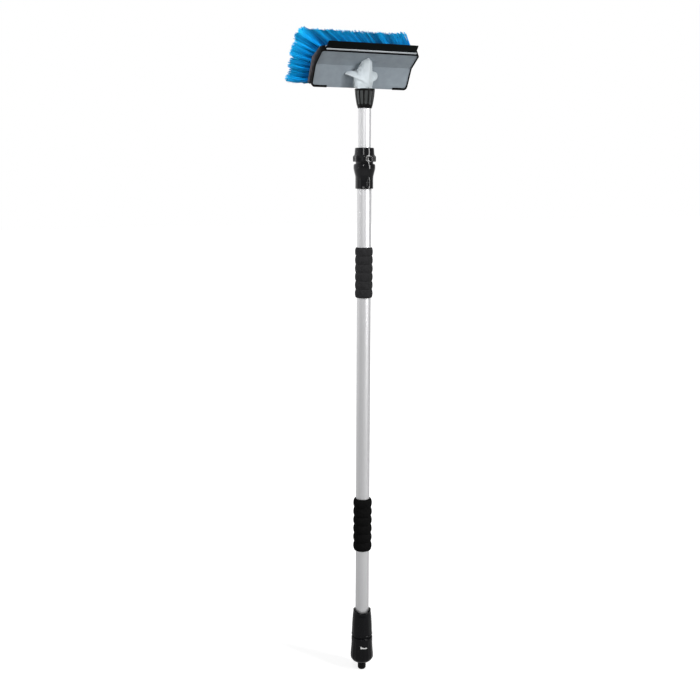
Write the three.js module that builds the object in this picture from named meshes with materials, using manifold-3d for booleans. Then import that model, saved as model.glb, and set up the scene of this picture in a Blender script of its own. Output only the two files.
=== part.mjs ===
// A telescopic wash and snow broom: a bent brush head with a squeegee, on a two-stage pole that
// carries water from the hose end up to the bristles.
//
// Millimetres. +Z runs up the pole, +X along the head, and -Y is the side of the head that the
// pole joins. The origin is on the pole's axis, in the middle of the lower hand grip.

import * as THREE from 'three';
import { mergeVertices } from 'three/addons/utils/BufferGeometryUtils.js';
import Module from 'manifold-3d';

const wasm = await Module();
wasm.setup();

// ---------------------------------------------------------------- driving dimensions

const GAP = 0.3;
const TURN = Math.PI * 2;
const OVERSHOOT = 5;
const FAR = 150;

const OUTER_TUBE = { radius: 12.5, wall: 1.2, bottom: -197, top: 653.2 };
const INNER_TUBE = { radius: 11, wall: 1.2, bottom: -171.7, top: 768.7 };
const WATERWAY = 6;

const LOWER_GRIP = { middle: 0, length: 105, lobe: 16.6, valley: 14.8 };
const UPPER_GRIP = { middle: 469.5, length: 90, lobe: 15.9, valley: 14.4 };
const GRIP_LOBES = 6;

const CLAMP_NUT = { bottom: 663.5, top: 687.5, band: 20.2, lobes: 8 };
const CLAMP_BODY = { bottom: 617, top: 658.5, shoulder: 19.1, skirt: 15.8 };
const CLAMP_NECK = { radius: 15.5, top: 676.5 };
const COLLET = { bottom: 659, top: 679.5, inner: 11.3, outer: 12.7, slit: 2 };

const UNION_NUT = { bottom: 754.5, top: 787.2, mouth: 17.6, foot: 12.4, flutes: 12 };
const STUB = { radius: 13, bore: 7, length: 11.5 };
const SOCKET_BASE = 787.5;
const STUB_END = SOCKET_BASE - STUB.length;
const WASHER_THICK = 2;

const HOSE_BODY = { bottom: -221, top: -168, rim: 16.3, belly: 19.3 };
const VALVE_CORE = { bottom: -274.6, top: -200.2, radius: 8.4, bore: 4.2 };
const SLEEVE = { bottom: -274.5, top: -221.6, neck: 19.9, belly: 21.7, bore: 8.85, ribs: 16 };
const NIPPLE = { bottom: -289.5, top: -274.9, radius: 7.7, neck: 6.7, collar: 9.6, bore: 3.1 };
const FLOW_MARK = {
  middle: -238.7,
  turn: -13,
  length: 13,
  tall: 5,
  waist: 2.6,
  low: 1.6,
  sunk: 0.7,
  proud: 0.15,
};

// The head is a block bent along X. Its back panel has a lower and an upper flat, which lean away
// from the pole's axis by these angles; the panel's bottom edge lies at `foot` (Y, Z).
const HEAD = {
  width: 179.6,
  lower: 42.6,
  upper: 33.3,
  lowerLean: 28.6,
  upperLean: 58.7,
  foot: [22.4, 789.9],
  footCorner: 5,
  topCorner: 4.5,
};
const BACK_PLATE = { skin: 2.5, rim: 3, depth: 8 };
const TUFT_BOARD = { from: 8.3, to: 14.3, jets: 6, jetRadius: 1.5 };
const TUFT_STRIP = { from: 14.6, to: 16.6, endInset: 2.9, footInset: 4.6, topInset: 3.7, pastCrease: 3.3 };
const BUMPER = { wall: 1.4, lip: 1.1, overlap: 0.4, to: 18.5, footLength: 27, footLip: 2.6 };
const RAIL = { halfWidth: 85, from: 2, to: 5.8, front: -3.2, back: 6.4, lipFrom: 3.2, lipDepth: 2.4 };
const LUG = { count: 3, spacing: 62, width: 14, from: 3, to: 6, reach: 2 };
const BLADE = { halfWidth: 82.5, root: 3.2, tip: 18.2, thick: 2.4, lean: 14 };

const BRISTLE = { length: 62, trim: 0.8, root: 1.9, taper: 0.85, columns: 19, margin: 1.6 };
const BRISTLE_ROWS = { lower: 5, upper: 4 };
// The bristles' directions in degrees: their rise over the horizontal, their flare at the head's
// ends, and the lean to the left that all of them have.
const BRISTLE_FAN = { footRise: 3, topRise: 34, footFlare: 22, topFlare: 14, lean: 3 };

// ---------------------------------------------------------------- materials

function material(color, roughness, metalness = 0) {
  return new THREE.MeshStandardMaterial({ color, roughness, metalness });
}

const aluminium = material(0xc9cbce, 0.32, 0.9);
const panelGrey = material(0x8f979e, 0.5);
const socketGrey = material(0xbfc6cc, 0.45);
const boardGrey = material(0x2c3034, 0.6);
const bumperRubber = material(0x1b1a1a, 0.75);
const bladeRubber = material(0x111112, 0.55);
const bristleBlue = material(0x1583cf, 0.5);
const satinBlack = material(0x1d1e20, 0.45);
const glossBlack = material(0x0f1012, 0.15);
const foamBlack = material(0x17181a, 0.95);
const innerWhite = material(0xd8d8d4, 0.5);
const sealRubber = material(0x0d0d0d, 0.7);
const markWhite = material(0xf0f0ee, 0.5);

// ---------------------------------------------------------------- solids

function toSolid(geometry) {
  const bare = geometry.clone();
  bare.deleteAttribute('normal');
  bare.deleteAttribute('uv');
  const merged = mergeVertices(bare);
  return new wasm.Manifold(new wasm.Mesh({
    numProp: 3,
    vertProperties: new Float32Array(merged.attributes.position.array),
    triVerts: new Uint32Array(merged.index.array),
  }));
}

function toGeometry(solid) {
  const mesh = solid.getMesh();
  const geometry = new THREE.BufferGeometry();
  geometry.setAttribute('position', new THREE.BufferAttribute(mesh.vertProperties, 3));
  geometry.setIndex(new THREE.BufferAttribute(mesh.triVerts, 1));
  geometry.computeVertexNormals();
  return geometry;
}

const cut = (geometry, ...tools) =>
  toGeometry(tools.reduce((solid, tool) => solid.subtract(toSolid(tool)), toSolid(geometry)));

const join = (geometry, ...others) =>
  toGeometry(others.reduce((solid, other) => solid.add(toSolid(other)), toSolid(geometry)));

const common = (geometry, ...others) =>
  toGeometry(others.reduce((solid, other) => solid.intersect(toSolid(other)), toSolid(geometry)));

/** An outline of [radius, z] points turned about Z. It runs up the outside and down the bore. */
function turned(outline, segments) {
  const points = outline.map(([radius, z]) => new THREE.Vector2(radius, z));
  return new THREE.LatheGeometry(points, segments).rotateX(Math.PI / 2);
}

/** A turned piece with a hole through it: the outline of a ring closes on itself. */
const turnedRing = (outline, segments) => turned([...outline, outline[0]], segments);

/** A plain ring between two radii and two heights. */
function ring(inner, outer, bottom, top, segments) {
  return turnedRing([[inner, bottom], [outer, bottom], [outer, top], [inner, top]], segments);
}

/** A plain rod on the pole's axis. */
const rod = (radius, bottom, top, segments) =>
  turned([[0, bottom], [radius, bottom], [radius, top], [0, top]], segments);

/** An O-ring about Z. */
const oRing = (middle, section, z) => new THREE.TorusGeometry(middle, section, 4, 18).translate(0, 0, z);

/** Moves each point in or out: newRadius(radius, angle, z) gives its new distance from Z. */
function reshaped(geometry, newRadius) {
  const position = geometry.attributes.position;
  for (let i = 0; i < position.count; i += 1) {
    const [x, y, z] = [position.getX(i), position.getY(i), position.getZ(i)];
    const radius = Math.hypot(x, y);
    const factor = radius > 0 ? newRadius(radius, Math.atan2(y, x), z) / radius : 1;
    position.setXY(i, x * factor, y * factor);
  }
  return geometry;
}

/** Narrow grooves between wide lobes: 1 in the middle of a groove and 0 on a lobe. */
const groove = (angle, count, narrowness) => Math.max(0, Math.cos(count * angle)) ** narrowness;

/** A flat outline of [x, y] points with a thickness along its own Z. */
function plate(outline, thickness) {
  const shape = new THREE.Shape(outline.map(([x, y]) => new THREE.Vector2(x, y)));
  return new THREE.ExtrudeGeometry(shape, { depth: thickness, bevelEnabled: false, curveSegments: 6 });
}

/** Places a geometry so that its own X, Y and Z lie along the given directions. */
function oriented(geometry, xAxis, yAxis, zAxis, origin = new THREE.Vector3()) {
  const matrix = new THREE.Matrix4().makeBasis(xAxis, yAxis, zAxis).setPosition(origin);
  return geometry.applyMatrix4(matrix);
}

const X = new THREE.Vector3(1, 0, 0);
const Y = new THREE.Vector3(0, 1, 0);
const Z = new THREE.Vector3(0, 0, 1);

// ---------------------------------------------------------------- the bent head's own directions

const radians = THREE.MathUtils.degToRad;
const upAlong = (lean) => new THREE.Vector3(0, -Math.sin(radians(lean)), Math.cos(radians(lean)));
const outFrom = (lean) => new THREE.Vector3(0, Math.cos(radians(lean)), Math.sin(radians(lean)));

const LOWER = { up: upAlong(HEAD.lowerLean), out: outFrom(HEAD.lowerLean) };
const UPPER = { up: upAlong(HEAD.upperLean), out: outFrom(HEAD.upperLean) };
LOWER.origin = new THREE.Vector3(0, ...HEAD.foot);
UPPER.origin = LOWER.origin.clone().addScaledVector(LOWER.up, HEAD.lower);
const HALF_BEND = radians((HEAD.upperLean - HEAD.lowerLean) / 2);
const CREASE_OUT = LOWER.out.clone().add(UPPER.out).normalize();
const HEAD_HEIGHT = HEAD.lower + HEAD.upper;

/** A point of one flat of the head, which may lie past the crease. */
function flatPoint(flat, s, t, x = 0) {
  const along = flat === LOWER ? s : s - HEAD.lower;
  const point = flat.origin.clone().addScaledVector(flat.up, along).addScaledVector(flat.out, t);
  return point.setX(x);
}

/** A point of the head: s runs up the panel from its bottom edge, t from its face to the bristles. */
const headPoint = (s, t, x) => flatPoint(s <= HEAD.lower ? LOWER : UPPER, s, t, x);

const creasePoint = (t) =>
  UPPER.origin.clone().addScaledVector(CREASE_OUT, t / Math.cos(HALF_BEND));

/** An outline in the YZ plane, as points, extruded along X between two places. */
function alongHead(points, fromX, toX) {
  const outline = points.map((point) => [point.y, point.z]);
  return oriented(plate(outline, toX - fromX), Y, Z, X, X.clone().multiplyScalar(fromX));
}

/** A layer of the bent block between two heights on the panel and two depths. */
function headLayer(fromS, toS, fromT, toT, fromX, toX) {
  const bends = fromS < HEAD.lower && toS > HEAD.lower;
  const near = [headPoint(fromS, fromT), headPoint(toS, fromT)];
  const far = [headPoint(toS, toT), headPoint(fromS, toT)];
  if (bends) {
    near.splice(1, 0, creasePoint(fromT));
    far.splice(1, 0, creasePoint(toT));
  }
  return alongHead([...near, ...far], fromX, toX);
}

/** A long prism square to one flat of the head, with two rounded corners past its free edge. */
function cornerTool(flat, halfWidth, edge, corner, reach) {
  const inwards = Math.sign(reach - edge);
  const shape = new THREE.Shape();
  shape.moveTo(-halfWidth, reach);
  shape.lineTo(-halfWidth, edge + inwards * corner);
  shape.quadraticCurveTo(-halfWidth, edge, -halfWidth + corner, edge);
  shape.lineTo(halfWidth - corner, edge);
  shape.quadraticCurveTo(halfWidth, edge, halfWidth, edge + inwards * corner);
  shape.lineTo(halfWidth, reach);
  const tool = new THREE.ExtrudeGeometry(shape, { depth: FAR, bevelEnabled: false, curveSegments: 5 });
  const start = flat.origin.clone().addScaledVector(flat.out, FAR / 2);
  return oriented(tool, X, flat.up, flat.out.clone().negate(), start);
}

/** The bent block with rounded corners, grown past the panel's edges by `grow`. */
function headBlock(grow, fromT, toT, footGrow = grow) {
  const halfWidth = HEAD.width / 2 + grow;
  const layer = headLayer(-footGrow, HEAD_HEIGHT + grow, fromT, toT, -halfWidth, halfWidth);
  const foot = cornerTool(LOWER, halfWidth, -footGrow, HEAD.footCorner + grow, FAR);
  const top = cornerTool(UPPER, halfWidth, HEAD.upper + grow, HEAD.topCorner + grow, -FAR);
  return common(layer, foot, top);
}

// ---------------------------------------------------------------- brush head

function backPlate() {
  const inside = headBlock(-BACK_PLATE.rim, BACK_PLATE.skin, BACK_PLATE.depth + OVERSHOOT);
  const waterHole = rod(WATERWAY, SOCKET_BASE, SOCKET_BASE + FAR, 16);
  const pockets = railLugs(GAP);
  return cut(headBlock(0, 0, BACK_PLATE.depth), inside, waterHole, ...pockets);
}

function tuftBoard() {
  const jets = Array.from({ length: TUFT_BOARD.jets }, (_, i) => {
    const x = HEAD.width * ((i + 0.5) / TUFT_BOARD.jets - 0.5);
    const jet = new THREE.CylinderGeometry(TUFT_BOARD.jetRadius, TUFT_BOARD.jetRadius, FAR, 8);
    return oriented(jet, X, CREASE_OUT, CREASE_OUT.clone().cross(X).negate(), creasePoint(0).setX(x));
  });
  return cut(headBlock(0, TUFT_BOARD.from, TUFT_BOARD.to), ...jets);
}

function bumper() {
  const outer = headBlock(GAP + BUMPER.wall, -BUMPER.lip, BUMPER.to, GAP);
  const past = BUMPER.to + OVERSHOOT;
  const block = headBlock(GAP, -GAP, past, OVERSHOOT);
  const window = headBlock(-BUMPER.overlap, -OVERSHOOT, 0, -BUMPER.footLip);
  const openFoot = HEAD.width / 2 - BUMPER.footLength;
  const footOpening = headLayer(-OVERSHOOT, HEAD.footCorner, -OVERSHOOT, past, -openFoot, openFoot);
  return cut(outer, block, window, footOpening, ...railLugs(GAP));
}

/** The lugs that hold the squeegee rail to the back plate, through the bumper's top wall. */
function railLugs(grow) {
  const half = LUG.width / 2 + grow;
  const [low, high] = [HEAD_HEIGHT - LUG.reach - grow, HEAD_HEIGHT + RAIL.from + 1];
  return Array.from({ length: LUG.count }, (_, i) => {
    const x = (i - (LUG.count - 1) / 2) * LUG.spacing;
    return headLayer(low, high, LUG.from - grow, LUG.to + grow, x - half, x + half);
  });
}

/** A point beyond the head's top edge: past runs on along the upper flat, t is the depth. */
const pastTop = (past, t) => headPoint(HEAD_HEIGHT + past, t);

function bladeOutline(grow) {
  const rise = Math.tan(radians(BLADE.lean));
  const mid = (past) => 1.6 + (past - BLADE.root) * rise;
  const half = BLADE.thick / 2;
  const [root, tip] = [BLADE.root - grow, BLADE.tip + grow];
  return [
    pastTop(root, mid(root) - half - grow),
    pastTop(tip, mid(tip) - half * 0.6 - grow),
    pastTop(tip, mid(tip) + half * 0.6 + grow),
    pastTop(root, mid(root) + half + grow),
  ];
}

function squeegeeRail() {
  const lipBack = RAIL.front + RAIL.lipDepth;
  const outline = [
    pastTop(RAIL.from, lipBack),
    pastTop(RAIL.lipFrom, lipBack),
    pastTop(RAIL.lipFrom, RAIL.front),
    pastTop(RAIL.to - 0.6, RAIL.front),
    pastTop(RAIL.to, RAIL.front + 0.6),
    pastTop(RAIL.to, RAIL.back),
    pastTop(RAIL.from, RAIL.back),
  ];
  const body = alongHead(outline, -RAIL.halfWidth, RAIL.halfWidth);
  const slot = alongHead(bladeOutline(GAP), -RAIL.halfWidth - 1, RAIL.halfWidth + 1);
  return cut(join(body, ...railLugs(0)), slot);
}

const squeegeeBlade = () => alongHead(bladeOutline(0), -BLADE.halfWidth, BLADE.halfWidth);

/** How much longer each flat of the tuft board's face is than the panel, because it opens at the crease. */
const FACE_OPENING = TUFT_BOARD.to * Math.tan(HALF_BEND);

/** The direction of a bristle: it fans up the head, and flares out towards the head's ends. */
function bristleDirection(flat, s, x) {
  const { footRise, topRise, footFlare, topFlare, lean } = BRISTLE_FAN;
  const upTheFace = flat === LOWER ? s : s + FACE_OPENING * 2;
  const up = upTheFace / (HEAD_HEIGHT + FACE_OPENING * 2);
  const across = x / (HEAD.width / 2);
  const rise = THREE.MathUtils.lerp(footRise, topRise, up);
  const flare = radians(THREE.MathUtils.lerp(footFlare, topFlare, up) * across - lean);
  return outFrom(rise).multiplyScalar(Math.cos(flare)).addScaledVector(X, Math.sin(flare));
}

/** The roots of a strip's bristles: a small triangle of [x, s] points for each. */
function bristleRoots(fromS, toS, fromX, toX, rows) {
  const roots = [];
  const [firstX, lastX] = [fromX + BRISTLE.margin, toX - BRISTLE.margin];
  for (let row = 0; row < rows; row += 1) {
    for (let column = 0; column < BRISTLE.columns; column += 1) {
      const s = THREE.MathUtils.lerp(fromS, toS, (row + 0.5) / rows);
      const stagger = row % 2 ? 0.25 : -0.25;
      const x = THREE.MathUtils.lerp(firstX, lastX, (column + 0.5 + stagger) / BRISTLE.columns);
      const twist = roots.length * 0.7;
      roots.push([0, 1, 2].map((i) => new THREE.Vector2(
        x + BRISTLE.root * Math.cos((TURN * i) / 3 + twist),
        s - BRISTLE.root * Math.sin((TURN * i) / 3 + twist),
      )));
    }
  }
  return roots;
}

/** The ends of one bristle's three edges, for the root triangle that it grows from. */
function bristleTips(flat, root, serial) {
  const x = root.reduce((sum, point) => sum + point.x, 0) / 3;
  const s = root.reduce((sum, point) => sum + point.y, 0) / 3;
  const length = BRISTLE.length + BRISTLE.trim * Math.sin(serial * 2.4);
  const middle = flatPoint(flat, s, TUFT_STRIP.to, x);
  const tip = middle.clone().addScaledVector(bristleDirection(flat, s, x), length);
  return root.map((point) => flatPoint(flat, point.y, TUFT_STRIP.to, point.x)
    .sub(middle).multiplyScalar(BRISTLE.taper).add(tip));
}

/**
 * A strip of the tuft board with its bristles: one flat of the head, on one side of the middle.
 * The strip's outer face has a hole where each bristle grows, so that all is one closed skin.
 */
function bristleStrip(flat, rows, side) {
  const [fromS, toS] = flat === LOWER
    ? [TUFT_STRIP.footInset, HEAD.lower + TUFT_STRIP.pastCrease]
    : [HEAD.lower - TUFT_STRIP.pastCrease, HEAD_HEIGHT - TUFT_STRIP.topInset];
  const ends = [GAP / 2, HEAD.width / 2 - TUFT_STRIP.endInset].map((x) => side * x);
  const [fromX, toX] = side > 0 ? ends : ends.reverse();
  const corners = [[fromX, fromS], [toX, fromS], [toX, toS], [fromX, toS]]
    .map(([x, s]) => new THREE.Vector2(x, s));
  const roots = bristleRoots(fromS, toS, fromX, toX, rows);

  const face = [...corners, ...roots.flat()].map(({ x, y }) => flatPoint(flat, y, TUFT_STRIP.to, x));
  const back = corners.map(({ x, y }) => flatPoint(flat, y, TUFT_STRIP.from, x));
  const tips = roots.flatMap((root, serial) => bristleTips(flat, root, serial));
  const faces = THREE.ShapeUtils.triangulateShape(corners, roots).map(([a, b, c]) => [a, c, b]);
  const firstBack = face.length;
  const firstTip = firstBack + back.length;
  faces.push([0, 1, 2].map((i) => firstBack + i), [0, 2, 3].map((i) => firstBack + i));
  for (let i = 0; i < 4; i += 1) {
    const next = (i + 1) % 4;
    faces.push([i, next, firstBack + next], [i, firstBack + next, firstBack + i]);
  }
  roots.forEach((_, strand) => {
    const [root, tip] = [corners.length + strand * 3, firstTip + strand * 3];
    for (let i = 0; i < 3; i += 1) {
      const next = (i + 1) % 3;
      faces.push([root + i, root + next, tip + next], [root + i, tip + next, tip + i]);
    }
    faces.push([tip, tip + 1, tip + 2]);
  });
  const points = [...face, ...back, ...tips].flatMap((point) => point.toArray());
  const geometry = new THREE.BufferGeometry();
  geometry.setAttribute('position', new THREE.Float32BufferAttribute(points, 3));
  geometry.setIndex(faces.flat());
  geometry.computeVertexNormals();
  return geometry;
}

// ---------------------------------------------------------------- socket and union

/**
 * The socket's section, as radii at angles from its front ridge, at heights above its base. Two webs
 * sweep up and out from the ridge to the wing tips beside it, and are undercut down to the stub.
 */
const SOCKET_ANGLES = [0, 27, 53, 76, 88, 100, 112, 128, 180];
const SOCKET_LEVELS = [
  { z: 0, radii: [15.8, 13.8, 13.4, 13.4, 13.4, 13.4, 13.4, 13.4, 13.4] },
  { z: 5.5, radii: [16.8, 15.4, 13.8, 13.4, 13.4, 13.4, 13.4, 13.4, 13.4] },
  { z: 12, radii: [18.2, 15.4, 16.6, 16.6, 14.4, 13.6, 13.4, 13.4, 13.4] },
  { z: 16, radii: [18.6, 15.1, 16, 20, 20.5, 17, 14.4, 13.6, 13.4] },
  { z: 20, radii: [18.8, 15, 15.6, 18.6, 25.5, 27, 18, 14.4, 13.4] },
  { z: 23.5, radii: [18.9, 14.9, 15.4, 17, 22.5, 33, 25, 16, 13.4] },
  { z: 27, radii: [18.9, 14.7, 15.1, 15.2, 17.6, 29, 23, 16, 13.4] },
  { z: 30, radii: [18.9, 14.6, 15, 13.6, 13.4, 16, 15, 14, 13.4] },
  { z: 42, radii: [18.7, 14.4, 15.2, 12.8, 12.8, 12.8, 12.8, 13, 13.4] },
  { z: 62, radii: [18.4, 14.4, 15.4, 12.8, 12.8, 12.8, 12.8, 13, 13.4] },
];
/** The wing on +X stands out less past this radius than the one on -X, by this share. */
const RIGHT_WING = { past: 19, share: 0.8 };

/** The radius of one level at an angle, eased from one named angle to the next. */
function levelRadius(radii, degrees) {
  const next = Math.max(1, SOCKET_ANGLES.findIndex((angle) => angle >= degrees - 1e-6));
  const [from, to] = [SOCKET_ANGLES[next - 1], SOCKET_ANGLES[next]];
  return THREE.MathUtils.lerp(radii[next - 1], radii[next], (degrees - from) / (to - from));
}

function handleSocket() {
  const outline = SOCKET_LEVELS.map(({ z }) => [STUB.radius, SOCKET_BASE + z]);
  const column = turned([[0, SOCKET_BASE], ...outline, [0, outline.at(-1)[1]]], 44);
  reshaped(column, (radius, angle, z) => {
    const level = SOCKET_LEVELS.find((row) => Math.abs(SOCKET_BASE + row.z - z) < 1e-3);
    const fromFront = THREE.MathUtils.euclideanModulo(THREE.MathUtils.radToDeg(angle) + 90 + 180, 360) - 180;
    const wanted = levelRadius(level.radii, Math.abs(fromFront));
    const beyond = fromFront > 0 ? Math.max(0, wanted - RIGHT_WING.past) : 0;
    return wanted - beyond * (1 - RIGHT_WING.share);
  });
  const stub = rod(STUB.radius, STUB_END, SOCKET_BASE + 2, 32);
  const bore = rod(STUB.bore, STUB_END - OVERSHOOT, SOCKET_BASE + FAR, 16);
  const [below, above] = [-HEAD.lower, HEAD_HEIGHT + HEAD.upper];
  const head = headLayer(below, above, -GAP, FAR, -HEAD.width / 2, HEAD.width / 2);
  return cut(join(column, stub), head, bore);
}

const socketWasher = () =>
  ring(STUB.bore, STUB.radius - 0.4, STUB_END - GAP - WASHER_THICK, STUB_END - GAP, 24);

function tubeEndFitting() {
  const flangeTop = STUB_END - WASHER_THICK - GAP * 2;
  const flangeBottom = INNER_TUBE.top + GAP;
  const tail = INNER_TUBE.radius - INNER_TUBE.wall - GAP;
  return turnedRing([
    [WATERWAY, flangeBottom - 28],
    [tail - 0.8, flangeBottom - 28],
    [tail, flangeBottom - 26],
    [tail, flangeBottom],
    [STUB.radius - 0.2, flangeBottom],
    [STUB.radius - 0.2, flangeTop],
    [WATERWAY, flangeTop],
  ], 24);
}

function unionNut() {
  const { bottom, top, mouth, foot } = UNION_NUT;
  const cavity = STUB.radius + 0.4;
  const bore = INNER_TUBE.radius + 0.4;
  const nut = turnedRing([
    [bore, bottom],
    [foot - 0.6, bottom],
    [foot, bottom + 1],
    [foot + 1.4, bottom + 6],
    [foot + 2.7, bottom + 12],
    [mouth - 1.2, bottom + 20],
    [mouth - 0.3, top - 5],
    [mouth, top - 1],
    [mouth - 0.8, top],
    [cavity, top],
    [cavity, INNER_TUBE.top],
    [bore, INNER_TUBE.top],
  ], 48);
  return reshaped(nut, (radius, angle, z) => {
    const fluted = radius > cavity + GAP && z > bottom + 5 && z < top - 3;
    return fluted ? radius - 1.1 * groove(angle, UNION_NUT.flutes, 1.5) : radius;
  });
}

// ---------------------------------------------------------------- pole and clamp

/** A drawn tube, from its outer radius, wall, bottom and top. */
const drawnTube = ({ radius, wall, bottom, top }) => ring(radius - wall, radius, bottom, top, 40);

/** The plug in the inner tube's foot. It guides the tube, and its two grooves hold seals. */
const SLIDE_PLUG = { bottom: -196.7, radius: 10.9, groove: 2.5, sealHeights: [-189, -179] };

function slidePlug() {
  const { bottom, radius, sealHeights } = SLIDE_PLUG;
  const shoulder = INNER_TUBE.bottom - GAP;
  const tail = INNER_TUBE.radius - INNER_TUBE.wall - GAP;
  const grooves = sealHeights.flatMap((z) => grooveOutline(z, radius, 8.8, SLIDE_PLUG.groove));
  return turnedRing([
    [WATERWAY, bottom],
    [radius - 0.8, bottom],
    [radius, bottom + 1],
    ...grooves,
    [radius, shoulder],
    [tail, shoulder],
    [tail, shoulder + 16],
    [WATERWAY, shoulder + 16],
  ], 20);
}

/** The four points of a seal's groove on an outline that runs upwards. */
function grooveOutline(z, radius, floor, width) {
  const [low, high] = [z - width / 2, z + width / 2];
  return [[radius, low], [floor, low], [floor, high], [radius, high]];
}

/** A foam hand grip: round lobes, one after another, on a straight bore. */
function foamGrip({ middle, length, lobe, valley }) {
  const bottom = middle - length / 2;
  const steps = GRIP_LOBES * 3;
  const outline = [[OUTER_TUBE.radius + GAP, bottom], [valley - 0.8, bottom]];
  for (let step = 1; step < steps; step += 1) {
    const wave = Math.abs(Math.sin((Math.PI * GRIP_LOBES * step) / steps));
    outline.push([valley + (lobe - valley) * wave, bottom + (length * step) / steps]);
  }
  outline.push([valley - 0.8, bottom + length], [OUTER_TUBE.radius + GAP, bottom + length]);
  return turnedRing(outline, 22);
}

function clampNut() {
  const { bottom, top, band, lobes } = CLAMP_NUT;
  const bore = INNER_TUBE.radius + 0.4;
  const skirt = CLAMP_NECK.radius + GAP;
  const nut = turnedRing([
    [skirt, bottom],
    [band - 1, bottom],
    [band, bottom + 1],
    [band, bottom + 9],
    [band - 1.2, bottom + 10.5],
    [17.6, bottom + 13],
    [17.2, bottom + 17],
    [16.6, top - 1],
    [16, top],
    [bore, top],
    [bore, top - 6],
    [13.2, top - 9],
    [skirt, top - 10],
  ], 40);
  return reshaped(nut, (radius, angle, z) => {
    const onBand = radius > 17.5 && z > bottom + 0.5 && z < bottom + 11;
    return onBand ? radius - 1.9 * groove(angle, lobes, 2) : radius;
  });
}

function clampCollet() {
  const { bottom, top, inner, outer, slit } = COLLET;
  const outline = [[inner, bottom], [outer, bottom], [outer, top - 4], [outer - 0.7, top], [inner, top]];
  const slitTool = new THREE.BoxGeometry(slit, outer * 2, top - bottom + OVERSHOOT);
  return cut(turnedRing(outline, 24), slitTool.translate(0, outer, (bottom + top) / 2));
}

function clampBody() {
  const { bottom, top, shoulder, skirt } = CLAMP_BODY;
  const tubeBore = OUTER_TUBE.radius + GAP;
  const stopBore = INNER_TUBE.radius + 0.4;
  const body = turnedRing([
    [tubeBore, bottom],
    [skirt - 0.5, bottom],
    [skirt, bottom + 1],
    [skirt, bottom + 20.5],
    [skirt + 0.8, bottom + 24],
    [shoulder - 0.8, bottom + 31],
    [shoulder, bottom + 33.5],
    [shoulder, top - 2],
    [shoulder - 1.6, top],
    [CLAMP_NECK.radius, top],
    [CLAMP_NECK.radius, CLAMP_NECK.top],
    [COLLET.outer + GAP, CLAMP_NECK.top],
    [COLLET.outer + GAP, top],
    [stopBore, top],
    [stopBore, OUTER_TUBE.top + GAP],
    [tubeBore, OUTER_TUBE.top + GAP],
  ], 36);
  return reshaped(body, (radius, angle, z) => {
    const onSkirt = radius > skirt - 0.1 && z > bottom + 0.5 && z < bottom + 22;
    return onSkirt ? radius - 0.45 * groove(angle, 12, 2) : radius;
  });
}

// ---------------------------------------------------------------- hose end

function hoseEndBody() {
  const { bottom, top, rim, belly } = HOSE_BODY;
  const tubeBore = OUTER_TUBE.radius + GAP;
  const floor = OUTER_TUBE.bottom - WASHER_THICK - GAP * 2;
  return turnedRing([
    [VALVE_CORE.radius + GAP, bottom],
    [belly - 0.4, bottom],
    [belly + 0.5, bottom + 1],
    [belly + 0.5, bottom + 3.4],
    [belly, bottom + 4.2],
    [belly - 0.2, bottom + 18],
    [belly - 1, bottom + 34],
    [rim + 0.6, bottom + 46],
    [rim, top - 1.2],
    [rim - 1, top],
    [tubeBore + 1.2, top],
    [tubeBore, top - 1.5],
    [tubeBore, floor],
    [VALVE_CORE.radius + GAP, floor],
  ], 32);
}

function tubeEndWasher() {
  const top = OUTER_TUBE.bottom - GAP;
  return ring(8.8, OUTER_TUBE.radius, top - WASHER_THICK, top, 24);
}

const CORE_SEAL = { heights: [-231.5, -264], middle: 7.6, section: 0.95, floor: 6.4, groove: 2.6 };
const PORT = { radius: 2, above: -240, below: -256, wallFrom: -251, wallTo: -247 };

/** The fixed core: blocked in the middle, so water must leave by its ports and come back in. */
function valveCore() {
  const { bottom, top, radius, bore } = VALVE_CORE;
  const grooves = CORE_SEAL.heights.toReversed()
    .flatMap((z) => grooveOutline(z, radius, CORE_SEAL.floor, CORE_SEAL.groove));
  const body = turned([[0, bottom], [radius, bottom], ...grooves, [radius, top], [0, top]], 24);
  const lowerBore = rod(bore, bottom - OVERSHOOT, PORT.wallFrom, 16);
  const upperBore = rod(bore, PORT.wallTo, top + OVERSHOOT, 16);
  const ports = [PORT.above, PORT.below].map((z) =>
    new THREE.CylinderGeometry(PORT.radius, PORT.radius, radius * 3, 8).translate(0, 0, z));
  return cut(body, lowerBore, upperBore, ...ports);
}

function sleeveOutline() {
  const { bottom, top, neck, belly } = SLEEVE;
  return [
    [10.6, bottom],
    [14, bottom + 1.6],
    [17, bottom + 4.6],
    [belly - 0.9, bottom + 8.5],
    [belly, bottom + 12.5],
    [belly - 0.4, bottom + 20],
    [neck, bottom + 38],
    [neck - 0.1, top - 1],
    [neck - 0.8, top],
  ];
}

/** The turning sleeve. Two pockets in its bore join the core's ports when it stands open. */
function valveSleeve() {
  const { bottom, top, bore, belly, ribs } = SLEEVE;
  const body = turnedRing([[bore, bottom], ...sleeveOutline(), [bore, top]], 64);
  reshaped(body, (radius, angle, z) => {
    const onRibs = radius > belly - 2 && z > bottom + 6 && z < top - OVERSHOOT;
    return onRibs ? radius - 0.55 * groove(angle, ribs, 1) : radius;
  });
  const pocket = ring(bore - 1, bore + 2.6, PORT.below - 4, PORT.above + 4, 24);
  const pocketArc = new THREE.BoxGeometry(bore * 1.3, bore * 4, 60).translate(0, 0, PORT.wallTo);
  const markBed = onSleeveFront(flowWedge(GAP, 10), FLOW_MARK.sunk);
  return cut(body, common(pocket, pocketArc), markBed);
}

/** The mark's outline: a wedge, tall at its left end, that shows which way to turn for flow. */
function flowWedge(grow, thickness) {
  const { length, tall, waist, low } = FLOW_MARK;
  const half = length / 2 + grow;
  return plate([
    [-half, -tall / 2 - grow],
    [half, -tall / 2 - grow],
    [half, -tall / 2 + low + grow],
    [-half / 3, -tall / 2 + waist + grow],
    [-half, tall / 2 + grow],
  ], thickness);
}

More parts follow.
